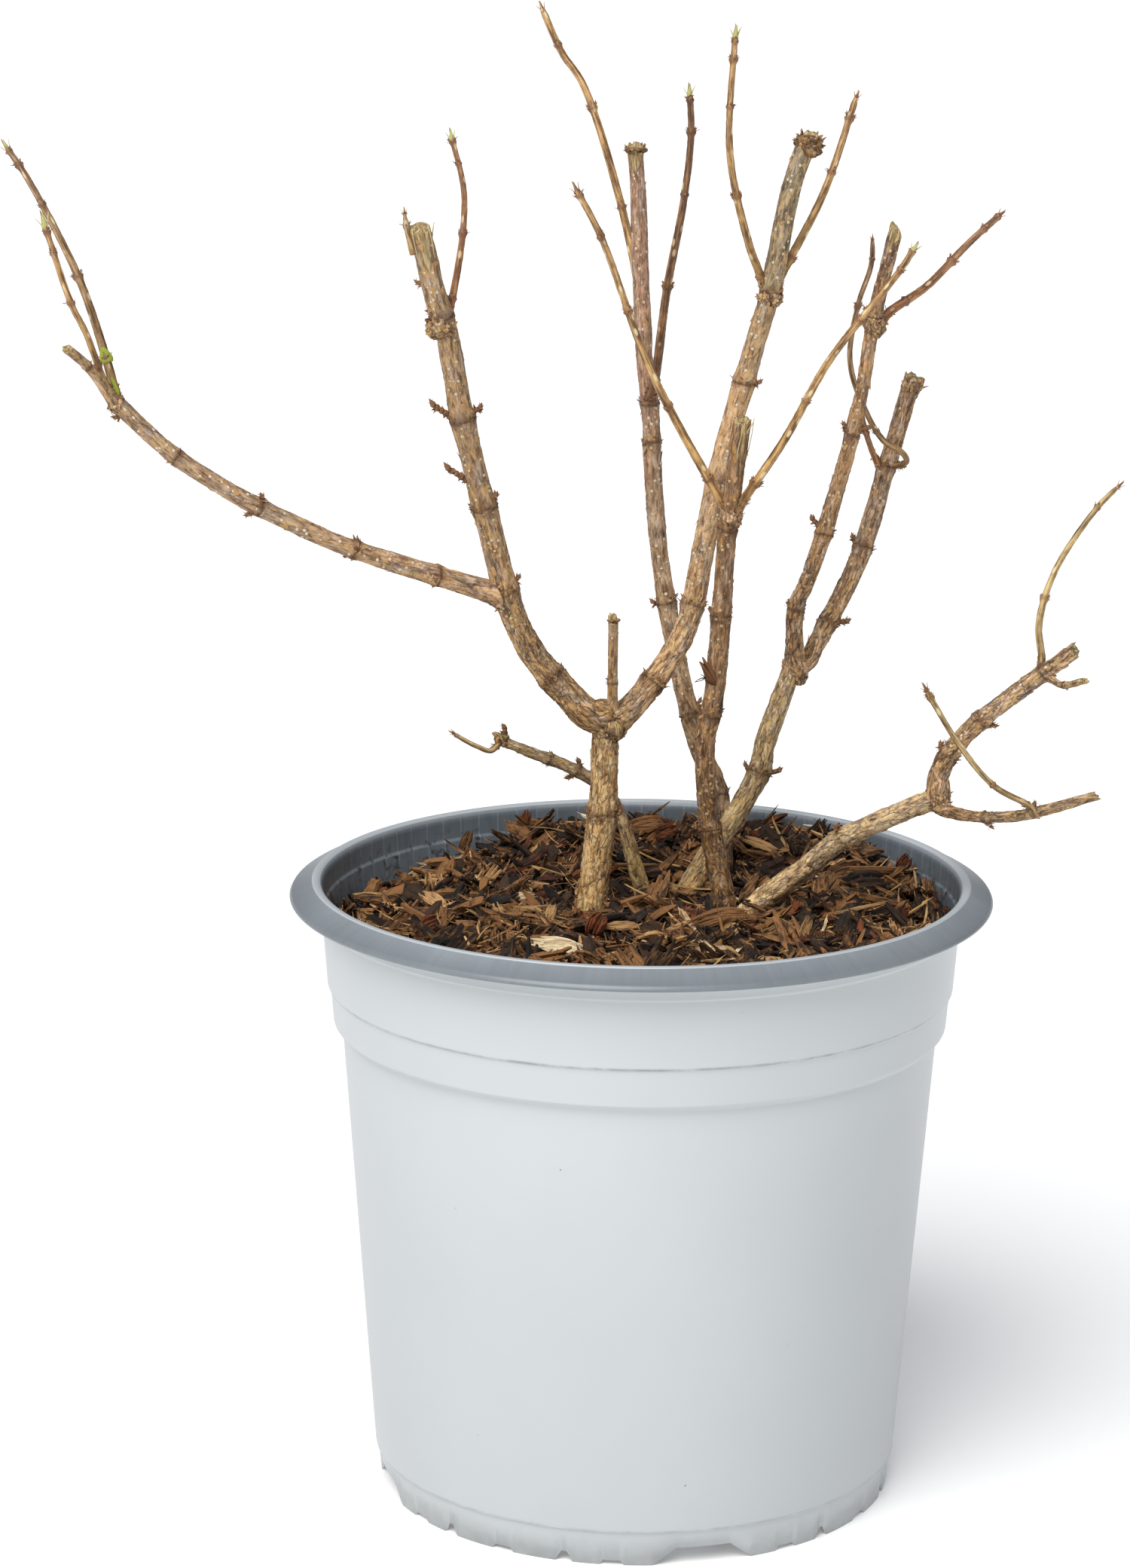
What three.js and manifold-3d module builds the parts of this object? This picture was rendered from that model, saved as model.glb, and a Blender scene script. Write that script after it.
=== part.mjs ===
// Potted panicle hydrangea, bare in winter, in a five-litre nursery pot topped with bark mulch.
// Millimetres, +Z up. The origin is the centre of the pot's underside, and the plant is seen
// from the front along +Y. Heights in the limb lists are measured from the crest of the pot's rim.

import * as THREE from 'three';
import { mergeVertices } from 'three/addons/utils/BufferGeometryUtils.js';
import Module from 'manifold-3d';

const wasm = await Module();
wasm.setup();
const { Manifold, Mesh: SolidMesh } = wasm;

// Driving dimensions of the pot
const POT_HEIGHT = 204.5;
const RIM_RADIUS = 114.5;
const CREST_RADIUS = 105.5;
const COLLAR_RADIUS = 104.8;
const COLLAR_FOOT = 11.4;
const UPPER_STEP = 34.3;
const LOWER_STEP = 46.9;
const BASE_LINE = 192.8;
const WALL = 1.3;
const FLOOR_UNDERSIDE = 6;
const FLOOR_TOP = 8.5;
const PAD_RADIUS = 16;
const DRAIN_HOLES = 8;
const DRAIN_RADIUS = 4.5;
const DRAIN_CIRCLE = 70;
const POT_SIDES = 48;

// Notches round the foot: four like groups, each of a wide arch and five smaller cuts
const FOOT_GROUPS = 4;
const FIRST_ARCH = 15.5;
const WIDE_ARCH = { foot: 33, top: 18, height: 5.7 };
const SHALLOW_NOTCH = { foot: 8, top: 5.6, height: 1.5 };
const DEEP_NOTCH = { foot: 5.8, top: 1.8, height: 3.4 };
const NOTCHES = [[0, WIDE_ARCH], [20, SHALLOW_NOTCH], [30.5, DEEP_NOTCH], [45, SHALLOW_NOTCH],
  [59.5, DEEP_NOTCH], [70, SHALLOW_NOTCH]];

// Driving dimensions of the filling
const MIX_TOP = -22;
const MULCH_LEVEL = -9.5;
const MULCH_EDGE = -13;
const MULCH_BUMP = 1.4;
const MULCH_RINGS = 6;

// Clearance between neighbouring pieces
const GAP = 0.3;
const CUT_GAP = 0.36;

// How the wood is shaped
const BOUGH_SIDES = 8;
const SHOOT_SIDES = 6;
const BOUGH_STEP = 13;
const SHOOT_STEP = 9;
const KNOT_SWELL = 0.2;
const SHOOT_KNOT_SWELL = 0.42;
const FOOT_FLARE = 0.3;
const FLARE_REACH = 16;
const BUD_LENGTH = 4.5;

// Each limb: a course of [x, y, height above the rim crest], its widths at foot and tip, and the
// fractions of its length where a ring of bud scars swells it. A stem starts on the potting mix.
const STEMS = [
  { name: 'front_left_stem', course: [[-16, 5, -24], [-16, 5, -9], [-13, 5, 19], [-12, 6, 56]],
    width: [9.6, 8.8], knots: [0.55], flare: true },
  { name: 'centre_front_stem', course: [[28, 4, -24], [27, 4, -8], [22, 1, 18], [20, -3, 45],
    [23, -5, 65], [24, -7, 82], [26, -11, 117], [30, -15, 153]],
    width: [7.7, 5.8], knots: [0.23, 0.45, 0.64, 0.8], flare: true },
  { name: 'right_rear_stem', course: [[9, 29, -24], [18, 30, -8], [38, 35, 26], [41, 37, 38],
    [50, 41, 64]], width: [7.6, 6.5], knots: [0.6], flare: true },
  { name: 'low_right_stem', course: [[25, 3, -24], [39, 1, -8], [54, -3, 5], [63, -6, 14],
    [95, -15, 32]], width: [7.4, 6.4], knots: [0.62], flare: true },
  { name: 'back_stem', course: [[27, 53, -24], [27, 54, -6], [25, 56, 16], [18, 58, 33],
    [5, 64, 92], [1, 66, 143], [-1, 67, 159], [-4, 65, 215], [-5, 64, 230]],
    width: [7, 5], knots: [0.15, 0.26, 0.41, 0.62, 0.67], flare: true },
  { name: 'low_left_stem', course: [[4, 35, -24], [-1, 36, -9], [-12, 38, 19], [-48, 29, 39]],
    width: [5, 3.6], knots: [0.66, 0.78, 0.98], flare: true },
];

const BOUGHS = [
  { name: 'left_upright_bough', course: [[-12, 6, 52], [-17, 4, 53], [-28, 2, 64], [-37, -1, 76],
    [-43, -4, 90], [-51, -10, 122], [-58, -16, 152], [-63, -22, 181], [-67, -25, 195],
    [-71, -28, 214]], width: [8.8, 6.6], knots: [0.13, 0.32, 0.48, 0.65, 0.84] },
  { name: 'tall_centre_bough', course: [[-12, 6, 50], [-7, 7, 52], [9, 14, 71], [14, 17, 81],
    [23, 23, 127], [34, 24, 170], [39, 22, 189], [45, 19, 222], [50, 17, 239]],
    width: [7.8, 6], knots: [0.1, 0.24, 0.44, 0.6, 0.75] },
  { name: 'left_arching_bough', course: [[-46, -5, 94], [-91, -20, 111], [-120, -28, 125],
    [-146, -34, 142], [-165, -38, 160]], width: [6.6, 4.7], knots: [0.16, 0.36, 0.6, 0.82, 0.99] },
  { name: 'right_tall_bough', course: [[50, 41, 61], [50, 38, 83], [54, 37, 93], [62, 33, 122],
    [69, 29, 154], [73, 27, 181], [79, 24, 209]], width: [5.6, 4.2],
    knots: [0.14, 0.32, 0.55, 0.81] },
  { name: 'right_outer_bough', course: [[50, 41, 61], [54, 44, 63], [58, 48, 70], [70, 56, 93],
    [80, 63, 126], [88, 66, 155]], width: [6.3, 5.8], knots: [0.19, 0.45, 0.71] },
  { name: 'low_right_upper_bough', course: [[95, -15, 31], [95, -16, 40], [102, -18, 52],
    [116, -22, 66], [136, -28, 83]], width: [6.2, 5.2], knots: [0.22, 0.45, 0.82] },
  { name: 'low_right_side_bough', course: [[95, -16, 29], [101, -22, 28], [118, -36, 31],
    [142, -52, 42]], width: [3.8, 3.2], knots: [0.31, 0.62] },
  { name: 'centre_stub', course: [[-10, 5, 54], [-10, 2, 66], [-10, -6, 87]], width: [3.2, 3.2],
    knots: [0.3] },
  { name: 'far_left_stub', course: [[-165, -39, 160], [-172, -50, 173], [-177, -60, 180]],
    width: [3, 2.8], knots: [0.6] },
  { name: 'low_right_stub', course: [[128, -26, 74], [132, -33, 73], [138, -40, 76]],
    width: [2.2, 2.1], knots: [0.5] },
];

const SHOOTS = [
  { name: 'left_top_shoot', course: [[-64, -23, 182], [-62, -20, 188], [-58, -10, 221],
    [-63, -6, 243]], width: [2.5, 1.6], knots: [0.16, 0.48, 0.82, 0.93] },
  { name: 'left_top_dead_twig', course: [[-73, -28, 206], [-75, -29, 214], [-76, -30, 221]],
    width: [1.9, 1.5], knots: [0.6] },
  { name: 'far_left_long_shoot', course: [[-164, -38, 159], [-169, -34, 176], [-177, -30, 198],
    [-193, -22, 227], [-202, -17, 239]], width: [3, 1.8], knots: [0.17, 0.46, 0.73, 0.89, 0.95] },
  { name: 'far_left_short_shoot', course: [[-165, -38, 161], [-168, -41, 167], [-173, -46, 183],
    [-177, -48, 192], [-186, -50, 221]], width: [2.2, 1.8], knots: [0.2, 0.54, 0.79, 0.89] },
  { name: 'centre_top_left_shoot', course: [[38, 22, 187], [35, 20, 196], [32, 16, 204],
    [25, 3, 235], [26, -6, 276]], width: [2.7, 1.9], knots: [0.08, 0.4, 0.72, 0.88, 0.94] },
  { name: 'centre_top_right_shoot', course: [[39, 22, 187], [43, 24, 195], [56, 37, 219],
    [67, 48, 251]], width: [2.9, 2.1], knots: [0.19, 0.62, 0.87] },
  { name: 'back_tall_shoot', course: [[-1, 68, 158], [-2, 78, 165], [-3, 86, 178], [-10, 96, 209],
    [-23, 104, 247], [-30, 106, 257], [-38, 108, 274]], width: [3, 2.2],
    knots: [0.15, 0.44, 0.7, 0.88] },
  { name: 'back_straight_shoot', course: [[0, 66, 146], [2, 60, 152], [6, 48, 186], [11, 40, 216],
    [13, 37, 238], [12, 35, 254]], width: [3.2, 2], knots: [0.1, 0.4, 0.68, 0.86, 0.95] },
  { name: 'centre_left_shoot', course: [[27, -12, 122], [22, -13, 130], [1, -25, 170],
    [-15, -34, 213], [-24, -37, 230]], width: [3, 1.9], knots: [0.12, 0.35, 0.63, 0.84, 0.96] },
  { name: 'centre_right_shoot', course: [[28, -12, 122], [32, -13, 129], [43, -18, 147],
    [57, -23, 174], [78, -28, 203], [83, -30, 212]], width: [2.9, 2],
    knots: [0.12, 0.42, 0.71, 0.9, 0.97] },
  { name: 'right_top_shoot', course: [[74, 27, 177], [77, 29, 181], [90, 38, 189],
    [104, 48, 202], [116, 55, 212]], width: [2.9, 2.1], knots: [0.22, 0.58, 0.84, 0.95] },
  { name: 'right_short_shoot', course: [[79, 63, 122], [76, 61, 128], [72, 56, 139],
    [69, 53, 152]], width: [2.2, 1.6], knots: [0.55] },
  { name: 'right_looping_shoot', course: [[80, 63, 125], [86, 58, 128], [84, 54, 132],
    [78, 52, 136], [70, 48, 150], [66, 45, 164], [68, 41, 182], [72, 39, 196], [72, 36, 206]],
    width: [2.1, 1.6], knots: [0.27, 0.74, 0.91] },
  { name: 'low_right_tall_shoot', course: [[125, -24, 73], [126, -22, 79], [125, -19, 89],
    [130, -12, 105], [143, -5, 124], [152, -2, 133]], width: [2.4, 1.7], knots: [0.36, 0.83] },
  { name: 'low_right_side_shoot', course: [[124, -41, 33], [122, -43, 36], [110, -49, 44],
    [98, -55, 59], [86, -59, 79]], width: [2, 1.7], knots: [0.32, 0.91] },
  { name: 'low_left_twig', course: [[-47, 29, 38], [-50, 28, 35], [-55, 26, 37], [-64, 22, 43]],
    width: [1.7, 1.4], knots: [0.85] },
];

const COLOURS = { outside: 0xd5dbdd, rim: 0x9da5ad, mix: 0x2f2219, mulch: 0x5d3c26, bark: 0xa58560,
  shoot: 0x9a7443 };

// Solids

function toSolid(geometry) {
  const bare = geometry.clone();
  bare.deleteAttribute('normal');
  bare.deleteAttribute('uv');
  const merged = mergeVertices(bare, 1e-4);
  const index = merged.index.array;
  const kept = [];
  for (let i = 0; i < index.length; i += 3) {
    const [a, b, c] = [index[i], index[i + 1], index[i + 2]];
    if (a !== b && b !== c && c !== a) {
      kept.push(a, b, c);
    }
  }
  return new Manifold(new SolidMesh({
    numProp: 3,
    vertProperties: new Float32Array(merged.attributes.position.array),
    triVerts: new Uint32Array(kept),
  }));
}

function toGeometry(solid) {
  const mesh = solid.getMesh();
  const geometry = new THREE.BufferGeometry();
  geometry.setAttribute('position', new THREE.BufferAttribute(new Float32Array(mesh.vertProperties), 3));
  geometry.setIndex(new THREE.BufferAttribute(new Uint32Array(mesh.triVerts), 1));
  geometry.computeVertexNormals();
  return geometry;
}

// A profile of [radius, height] turned about the upright axis
function turned(profile, sides) {
  const points = profile.map(([radius, height]) => new THREE.Vector2(radius, height));
  const geometry = new THREE.LatheGeometry(points, sides);
  geometry.rotateX(Math.PI / 2);
  return geometry;
}

function largestPiece(solid) {
  const pieces = solid.decompose();
  return pieces.reduce((best, piece) => (piece.volume() > best.volume() ? piece : best));
}

// Pot

const up = (depth) => POT_HEIGHT - depth;
const WALL_TAPER = (97.3 - 86.8) / (BASE_LINE - 51);

function outerWall() {
  return [
    [84.6, 0],
    [85.6, up(BASE_LINE + 0.5)],
    [86.5, up(BASE_LINE)],
    [97.3, up(LOWER_STEP + 2.2)],
    [100.2, up(LOWER_STEP)],
    [101.2, up(UPPER_STEP + 0.8)],
    [102.2, up(UPPER_STEP)],
    [103.9, up(COLLAR_FOOT + 0.6)],
    [COLLAR_RADIUS, up(COLLAR_FOOT)],
    [COLLAR_RADIUS, up(3.6)],
  ];
}

function rim() {
  return [
    [112.8, up(5.7)],
    [RIM_RADIUS - 0.4, up(6.1)],
    [RIM_RADIUS, up(5.3)],
    [RIM_RADIUS - 0.7, up(4.1)],
    [107.2, up(0.6)],
    [106.9, up(0.1)],
    [CREST_RADIUS, up(0)],
  ];
}

// From the crest down to the floor
function innerWall() {
  const floorRadius = 97.3 - WALL - WALL_TAPER * (POT_HEIGHT - FLOOR_TOP - 2 - LOWER_STEP);
  return [
    [CREST_RADIUS - 1.4, up(0.9)],
    [COLLAR_RADIUS - WALL, up(2.6)],
    [COLLAR_RADIUS - WALL - 0.2, up(8.6)],
    [102.5, up(9.3)],
    [102.2 - WALL, up(UPPER_STEP - 0.2)],
    [101.2 - WALL, up(UPPER_STEP + 0.7)],
    [100.2 - WALL, up(LOWER_STEP - 0.3)],
    [97.3 - WALL, up(LOWER_STEP + 2)],
    [floorRadius, FLOOR_TOP + 2],
    [floorRadius - 2, FLOOR_TOP],
  ];
}

function notchCutter(angle, { foot, top, height }) {
  const shape = new THREE.Shape();
  shape.moveTo(-foot / 2, -1);
  shape.lineTo(foot / 2, -1);
  shape.lineTo(foot / 2, 0);
  shape.lineTo(top / 2, height);
  shape.lineTo(-top / 2, height);
  shape.lineTo(-foot / 2, 0);
  const cutter = new THREE.ExtrudeGeometry(shape, { depth: 14, bevelEnabled: false });
  cutter.rotateX(Math.PI / 2);
  cutter.translate(0, -76, 0);
  cutter.rotateZ(THREE.MathUtils.degToRad(angle));
  return toSolid(cutter);
}

function drainCutter(angle) {
  const cutter = new THREE.CylinderGeometry(DRAIN_RADIUS, DRAIN_RADIUS, 10, 10);
  cutter.rotateX(Math.PI / 2);
  cutter.translate(0, -DRAIN_CIRCLE, (FLOOR_UNDERSIDE + FLOOR_TOP) / 2);
  cutter.rotateZ(THREE.MathUtils.degToRad(angle));
  return toSolid(cutter);
}

function pot() {
  const underside = [[0, 0], [PAD_RADIUS, 0], [PAD_RADIUS + 1, FLOOR_UNDERSIDE],
    [83, FLOOR_UNDERSIDE], [83.2, 0]];
  const profile = [...underside, ...outerWall(), ...rim(), ...innerWall(), [0, FLOOR_TOP]];
  let body = toSolid(turned(profile, POT_SIDES));
  for (let group = 0; group < FOOT_GROUPS; group += 1) {
    for (const [offset, notch] of NOTCHES) {
      const angle = FIRST_ARCH + offset + group * 360 / FOOT_GROUPS;
      body = body.subtract(notchCutter(angle, notch));
    }
  }
  for (let hole = 0; hole < DRAIN_HOLES; hole += 1) {
    body = body.subtract(drainCutter(FIRST_ARCH + hole * 360 / DRAIN_HOLES));
  }
  return body;
}

// Filling

function radiusInside(height) {
  const wall = innerWall();
  for (let i = 1; i < wall.length; i += 1) {
    const [[r0, h0], [r1, h1]] = [wall[i - 1], wall[i]];
    if (height <= h0 && height >= h1) {
      return r0 + (r1 - r0) * (h0 - height) / (h0 - h1);
    }
  }
  return wall[wall.length - 1][0];
}

function pottingMix() {
  const side = innerWall()
    .filter(([, height]) => height < POT_HEIGHT + MIX_TOP)
    .map(([radius, height]) => [radius - GAP - 0.15, height + GAP])
    .reverse();
  const top = POT_HEIGHT + MIX_TOP;
  const profile = [[0, FLOOR_TOP + GAP], ...side, [radiusInside(top) - GAP - 0.15, top], [0, top]];
  return toSolid(turned(profile, POT_SIDES));
}

// Gentle heaps and hollows of the mulch, higher in the middle
function mulchHeap(x, y) {
  return MULCH_BUMP * (0.6 * Math.sin(x * 0.11 + 1.3) * Math.cos(y * 0.13 - 0.4)
    + 0.4 * Math.sin(x * 0.23 - y * 0.19 + 2.1));
}

function mulch(clearances) {
  const bottom = POT_HEIGHT + MIX_TOP + GAP;
  const edge = radiusInside(POT_HEIGHT + MULCH_EDGE) - GAP - 0.6;
  const profile = [[0, bottom], [radiusInside(bottom) - GAP - 0.15, bottom]];
  for (let ring = 0; ring <= MULCH_RINGS; ring += 1) {
    const out = 1 - ring / MULCH_RINGS;
    const height = MULCH_LEVEL + (MULCH_EDGE - MULCH_LEVEL) * out ** 5;
    profile.push([edge * out, POT_HEIGHT + height]);
  }
  const geometry = turned(profile, POT_SIDES / 2);
  const place = geometry.attributes.position;
  for (let i = 0; i < place.count; i += 1) {
    if (place.getZ(i) > bottom + 1) {
      place.setZ(i, place.getZ(i) + mulchHeap(place.getX(i), place.getY(i)));
    }
  }
  let body = toSolid(geometry);
  for (const clearance of clearances) {
    body = body.subtract(clearance);
  }
  return largestPiece(body);
}

// Limbs

function stations(limb, length, step) {
  const count = Math.max(3, Math.round(length / step));
  const half = limb.width[1] * 0.55 / length;
  const marks = Array.from({ length: count + 1 }, (_, i) => i / count);
  for (const knot of limb.knots) {
    marks.push(knot - half, knot, knot + half);
  }
  if (limb.bud) {
    marks.push(1 - BUD_LENGTH / length, 1 - BUD_LENGTH / length / 2);
  }
  const nearest = 0.35 * half;
  return marks
    .filter((u) => u >= 0 && u <= 1)
    .sort((a, b) => a - b)
    .filter((u, i, all) => i === 0 || u - all[i - 1] > nearest);
}

function limbRadius(limb, u, length, extra) {
  const [foot, tip] = limb.width;
  let radius = (foot + (tip - foot) * u) / 2;
  const swell = limb.bud ? SHOOT_KNOT_SWELL : KNOT_SWELL;
  for (const knot of limb.knots) {
    const away = (u - knot) * length / (tip * 0.45);
    radius *= 1 + swell * Math.exp(-away * away);
  }
  if (limb.flare) {
    radius *= 1 + FOOT_FLARE * Math.exp(-u * length / FLARE_REACH);
  }
  const toTip = (1 - u) * length;
  if (limb.bud && toTip < BUD_LENGTH) {
    radius *= 0.12 + 0.88 * (toTip / BUD_LENGTH) ** 0.7;
  }
  return radius + extra;
}

// A closed body of rings along the limb's course, with a fan of faces at each end
function limbGeometry(limb, extra) {
  const points = limb.course.map(([x, y, h]) => new THREE.Vector3(x, y, POT_HEIGHT + h));
  const curve = new THREE.CatmullRomCurve3(points, false, 'centripetal');
  const length = curve.getLength();
  const sides = limb.bud ? SHOOT_SIDES : BOUGH_SIDES;
  const marks = stations(limb, length, limb.bud ? SHOOT_STEP : BOUGH_STEP);
  const tangent = curve.getTangentAt(0);
  const across = new THREE.Vector3(0, 1, 0).cross(tangent).normalize();
  const place = [];
  const turn = new THREE.Quaternion();
  marks.forEach((u, ring) => {
    const ahead = curve.getTangentAt(u);
    turn.setFromUnitVectors(tangent, ahead);
    across.applyQuaternion(turn).normalize();
    tangent.copy(ahead);
    const beside = new THREE.Vector3().crossVectors(ahead, across);
    const centre = curve.getPointAt(u);
    const end = ring === 0 ? -extra : (ring === marks.length - 1 ? extra : 0);
    centre.addScaledVector(ahead, end);
    const radius = limbRadius(limb, u, length, extra);
    for (let side = 0; side < sides; side += 1) {
      const angle = side / sides * Math.PI * 2;
      const rim = centre.clone()
        .addScaledVector(across, radius * Math.cos(angle))
        .addScaledVector(beside, radius * Math.sin(angle));
      place.push(rim.x, rim.y, rim.z);
    }
  });
  const first = curve.getPointAt(0).addScaledVector(curve.getTangentAt(0), -extra);
  const last = curve.getPointAt(1).addScaledVector(curve.getTangentAt(1), extra);
  const footCentre = place.length / 3;
  place.push(first.x, first.y, first.z, last.x, last.y, last.z);
  const index = [];
  const lastRing = (marks.length - 1) * sides;
  for (let side = 0; side < sides; side += 1) {
    const next = (side + 1) % sides;
    for (let ring = 0; ring < marks.length - 1; ring += 1) {
      const low = ring * sides;
      const high = low + sides;
      index.push(low + side, low + next, high + next);
      index.push(low + side, high + next, high + side);
    }
    index.push(footCentre, next, side);
    index.push(footCentre + 1, lastRing + side, lastRing + next);
  }
  const geometry = new THREE.BufferGeometry();
  geometry.setAttribute('position', new THREE.Float32BufferAttribute(place, 3));
  geometry.setIndex(index);
  return geometry;
}

function touches(a, b) {
  const [first, second] = [a.boundingBox(), b.boundingBox()];
  return [0, 1, 2].every((axis) => first.min[axis] < second.max[axis]
    && second.min[axis] < first.max[axis]);
}

// Everything below the top of the potting mix, which cuts each stem's foot flat
function ground() {
  const block = new THREE.BoxGeometry(400, 400, 60);
  block.translate(0, 0, POT_HEIGHT + MIX_TOP + GAP - 30);
  return toSolid(block);
}

function growLimbs() {
  const soil = ground();
  const grown = [];
  for (const limb of [...STEMS, ...BOUGHS, ...SHOOTS.map((shoot) => ({ ...shoot, bud: true }))]) {
    let body = toSolid(limbGeometry(limb, 0));
    if (limb.flare) {
      body = body.subtract(soil);
    }
    for (const other of grown) {
      if (touches(body, other.clearance)) {
        body = body.subtract(other.clearance);
      }
    }
    grown.push({ limb, body: largestPiece(body), clearance: toSolid(limbGeometry(limb, CUT_GAP)) });
  }
  return grown;
}

// Assembly

const materials = {
  plastic: new THREE.MeshStandardMaterial({ color: COLOURS.outside, roughness: 0.45, metalness: 0 }),
  mix: new THREE.MeshStandardMaterial({ color: COLOURS.mix, roughness: 0.95, metalness: 0 }),
  mulch: new THREE.MeshStandardMaterial({ color: COLOURS.mulch, roughness: 0.9, metalness: 0 }),
  bark: new THREE.MeshStandardMaterial({ color: COLOURS.bark, roughness: 0.85, metalness: 0 }),
  shoot: new THREE.MeshStandardMaterial({ color: COLOURS.shoot, roughness: 0.6, metalness: 0 }),
};

function named(name, solid, material) {
  const mesh = new THREE.Mesh(toGeometry(solid), material);
  mesh.name = name;
  return mesh;
}

const limbs = growLimbs();
const feet = limbs.filter(({ limb }) => limb.flare).map(({ clearance }) => clearance);
const hydrangea = new THREE.Group();
hydrangea.add(named('pot', pot(), materials.plastic));
hydrangea.add(named('potting_mix', pottingMix(), materials.mix));
hydrangea.add(named('bark_mulch', mulch(feet), materials.mulch));
for (const { limb, body } of limbs) {
  hydrangea.add(named(limb.name, body, limb.bud ? materials.shoot : materials.bark));
}

export default hydrangea;
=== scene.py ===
"""Dresses the packed potted panicle hydrangea: winter wood, young shoots, mulch and its pot."""
import functools
import itertools
import math

import bpy
import numpy as np
from mathutils import Matrix, Vector


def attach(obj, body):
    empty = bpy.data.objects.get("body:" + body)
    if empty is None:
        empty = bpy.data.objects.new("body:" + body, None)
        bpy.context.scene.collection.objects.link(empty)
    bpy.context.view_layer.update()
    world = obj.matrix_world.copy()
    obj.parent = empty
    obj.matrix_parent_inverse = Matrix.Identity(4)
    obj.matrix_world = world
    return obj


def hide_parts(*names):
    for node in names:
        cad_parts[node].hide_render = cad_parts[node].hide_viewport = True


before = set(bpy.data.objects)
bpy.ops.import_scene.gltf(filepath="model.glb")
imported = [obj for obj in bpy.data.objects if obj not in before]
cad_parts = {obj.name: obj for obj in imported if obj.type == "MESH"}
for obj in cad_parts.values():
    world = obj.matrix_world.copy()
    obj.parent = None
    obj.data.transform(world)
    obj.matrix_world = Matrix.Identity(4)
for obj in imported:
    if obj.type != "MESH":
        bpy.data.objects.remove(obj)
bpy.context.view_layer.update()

bl_info = {
    "name": "Potted panicle hydrangea",
    "version": (1, 0, 0),
    "blender": (4, 5, 0),
    "location": "3D View > Sidebar > Hydrangea",
    "description": "Winter panicle hydrangea in a white nursery pot with bark mulch",
    "category": "Object",
}

# Lengths below are in millimetres; meshes are written in metres
MM = 0.001
TAU = math.tau

# The pot, as in the part's source
POT_HEIGHT = 204.5
FLOOR_UNDERSIDE, FLOOR_TOP = 6.0, 8.5
RIM_RADIUS = 114.5
PAD_RADIUS = 16.0
DRAIN_HOLES, DRAIN_CIRCLE = 8, 70.0
BASE_LINE = 192.8
FOOT_RADIUS = 84.6
FIRST_ARCH = 15.5
FOOT_GROUPS = 4
# Each notch of a group: its angle, its width at the foot and at its top, and its height
NOTCHES = ((0, 33.0, 18.0, 5.7), (20, 8.0, 5.6, 1.5), (30.5, 5.8, 1.8, 3.4), (45, 8.0, 5.6, 1.5),
           (59.5, 5.8, 1.8, 3.4), (70, 8.0, 5.6, 1.5))

# Heights from the rim's crest
MIX_TOP = -22.0
CUT_GAP = 0.36
MULCH_CENTRE, MULCH_EDGE = -12.5, -15.5
MULCH_WALL = 101.7
# How far the fine bed lies under the chips
BED_DEPTH = 3.2

# The limbs. Old wood: its bark, how cracked and flaky that is at its foot and further up, its
# width at foot and tip, where the knots stand along it, and its course in x, y and height above
# the rim's crest. The last three are as in the part's source
STEMS = {
    "front_left_stem": ("golden", (1.0, 1.0), (9.6, 8.8), (0.55,), [
        (-16, 5, -24), (-16, 5, -9), (-13, 5, 19), (-12, 6, 56)]),
    "centre_front_stem": ("dark flaking", (1.0, 0.35), (7.0, 5.8), (0.23, 0.45, 0.64, 0.8), [
        (28, 4, -24), (27, 4, -8), (22, 1, 18), (20, -3, 45), (23, -5, 65), (24, -7, 82),
        (26, -11, 117), (30, -15, 153)]),
    "right_rear_stem": ("weathered gold", (0.7, 0.7), (7.6, 6.5), (0.6,), [
        (9, 29, -24), (18, 30, -8), (38, 35, 26), (41, 37, 38), (50, 41, 64)]),
    "low_right_stem": ("pale tan", (1.0, 0.9), (7.4, 6.4), (0.62,), [
        (25, 3, -24), (39, 1, -8), (54, -3, 5), (63, -6, 14), (95, -15, 32)]),
    "back_stem": ("pink brown", (0.7, 0.3), (7, 5), (0.15, 0.26, 0.41, 0.62, 0.67), [
        (27, 53, -24), (27, 54, -6), (25, 56, 16), (18, 58, 33), (5, 64, 92), (1, 66, 143),
        (-1, 67, 159), (-4, 65, 215), (-5, 64, 230)]),
    "low_left_stem": ("weathered gold", (0.6, 0.6), (5, 3.6), (0.66, 0.78, 0.98), [
        (4, 35, -24), (-1, 36, -9), (-12, 38, 19), (-48, 29, 39)]),
}
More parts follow.
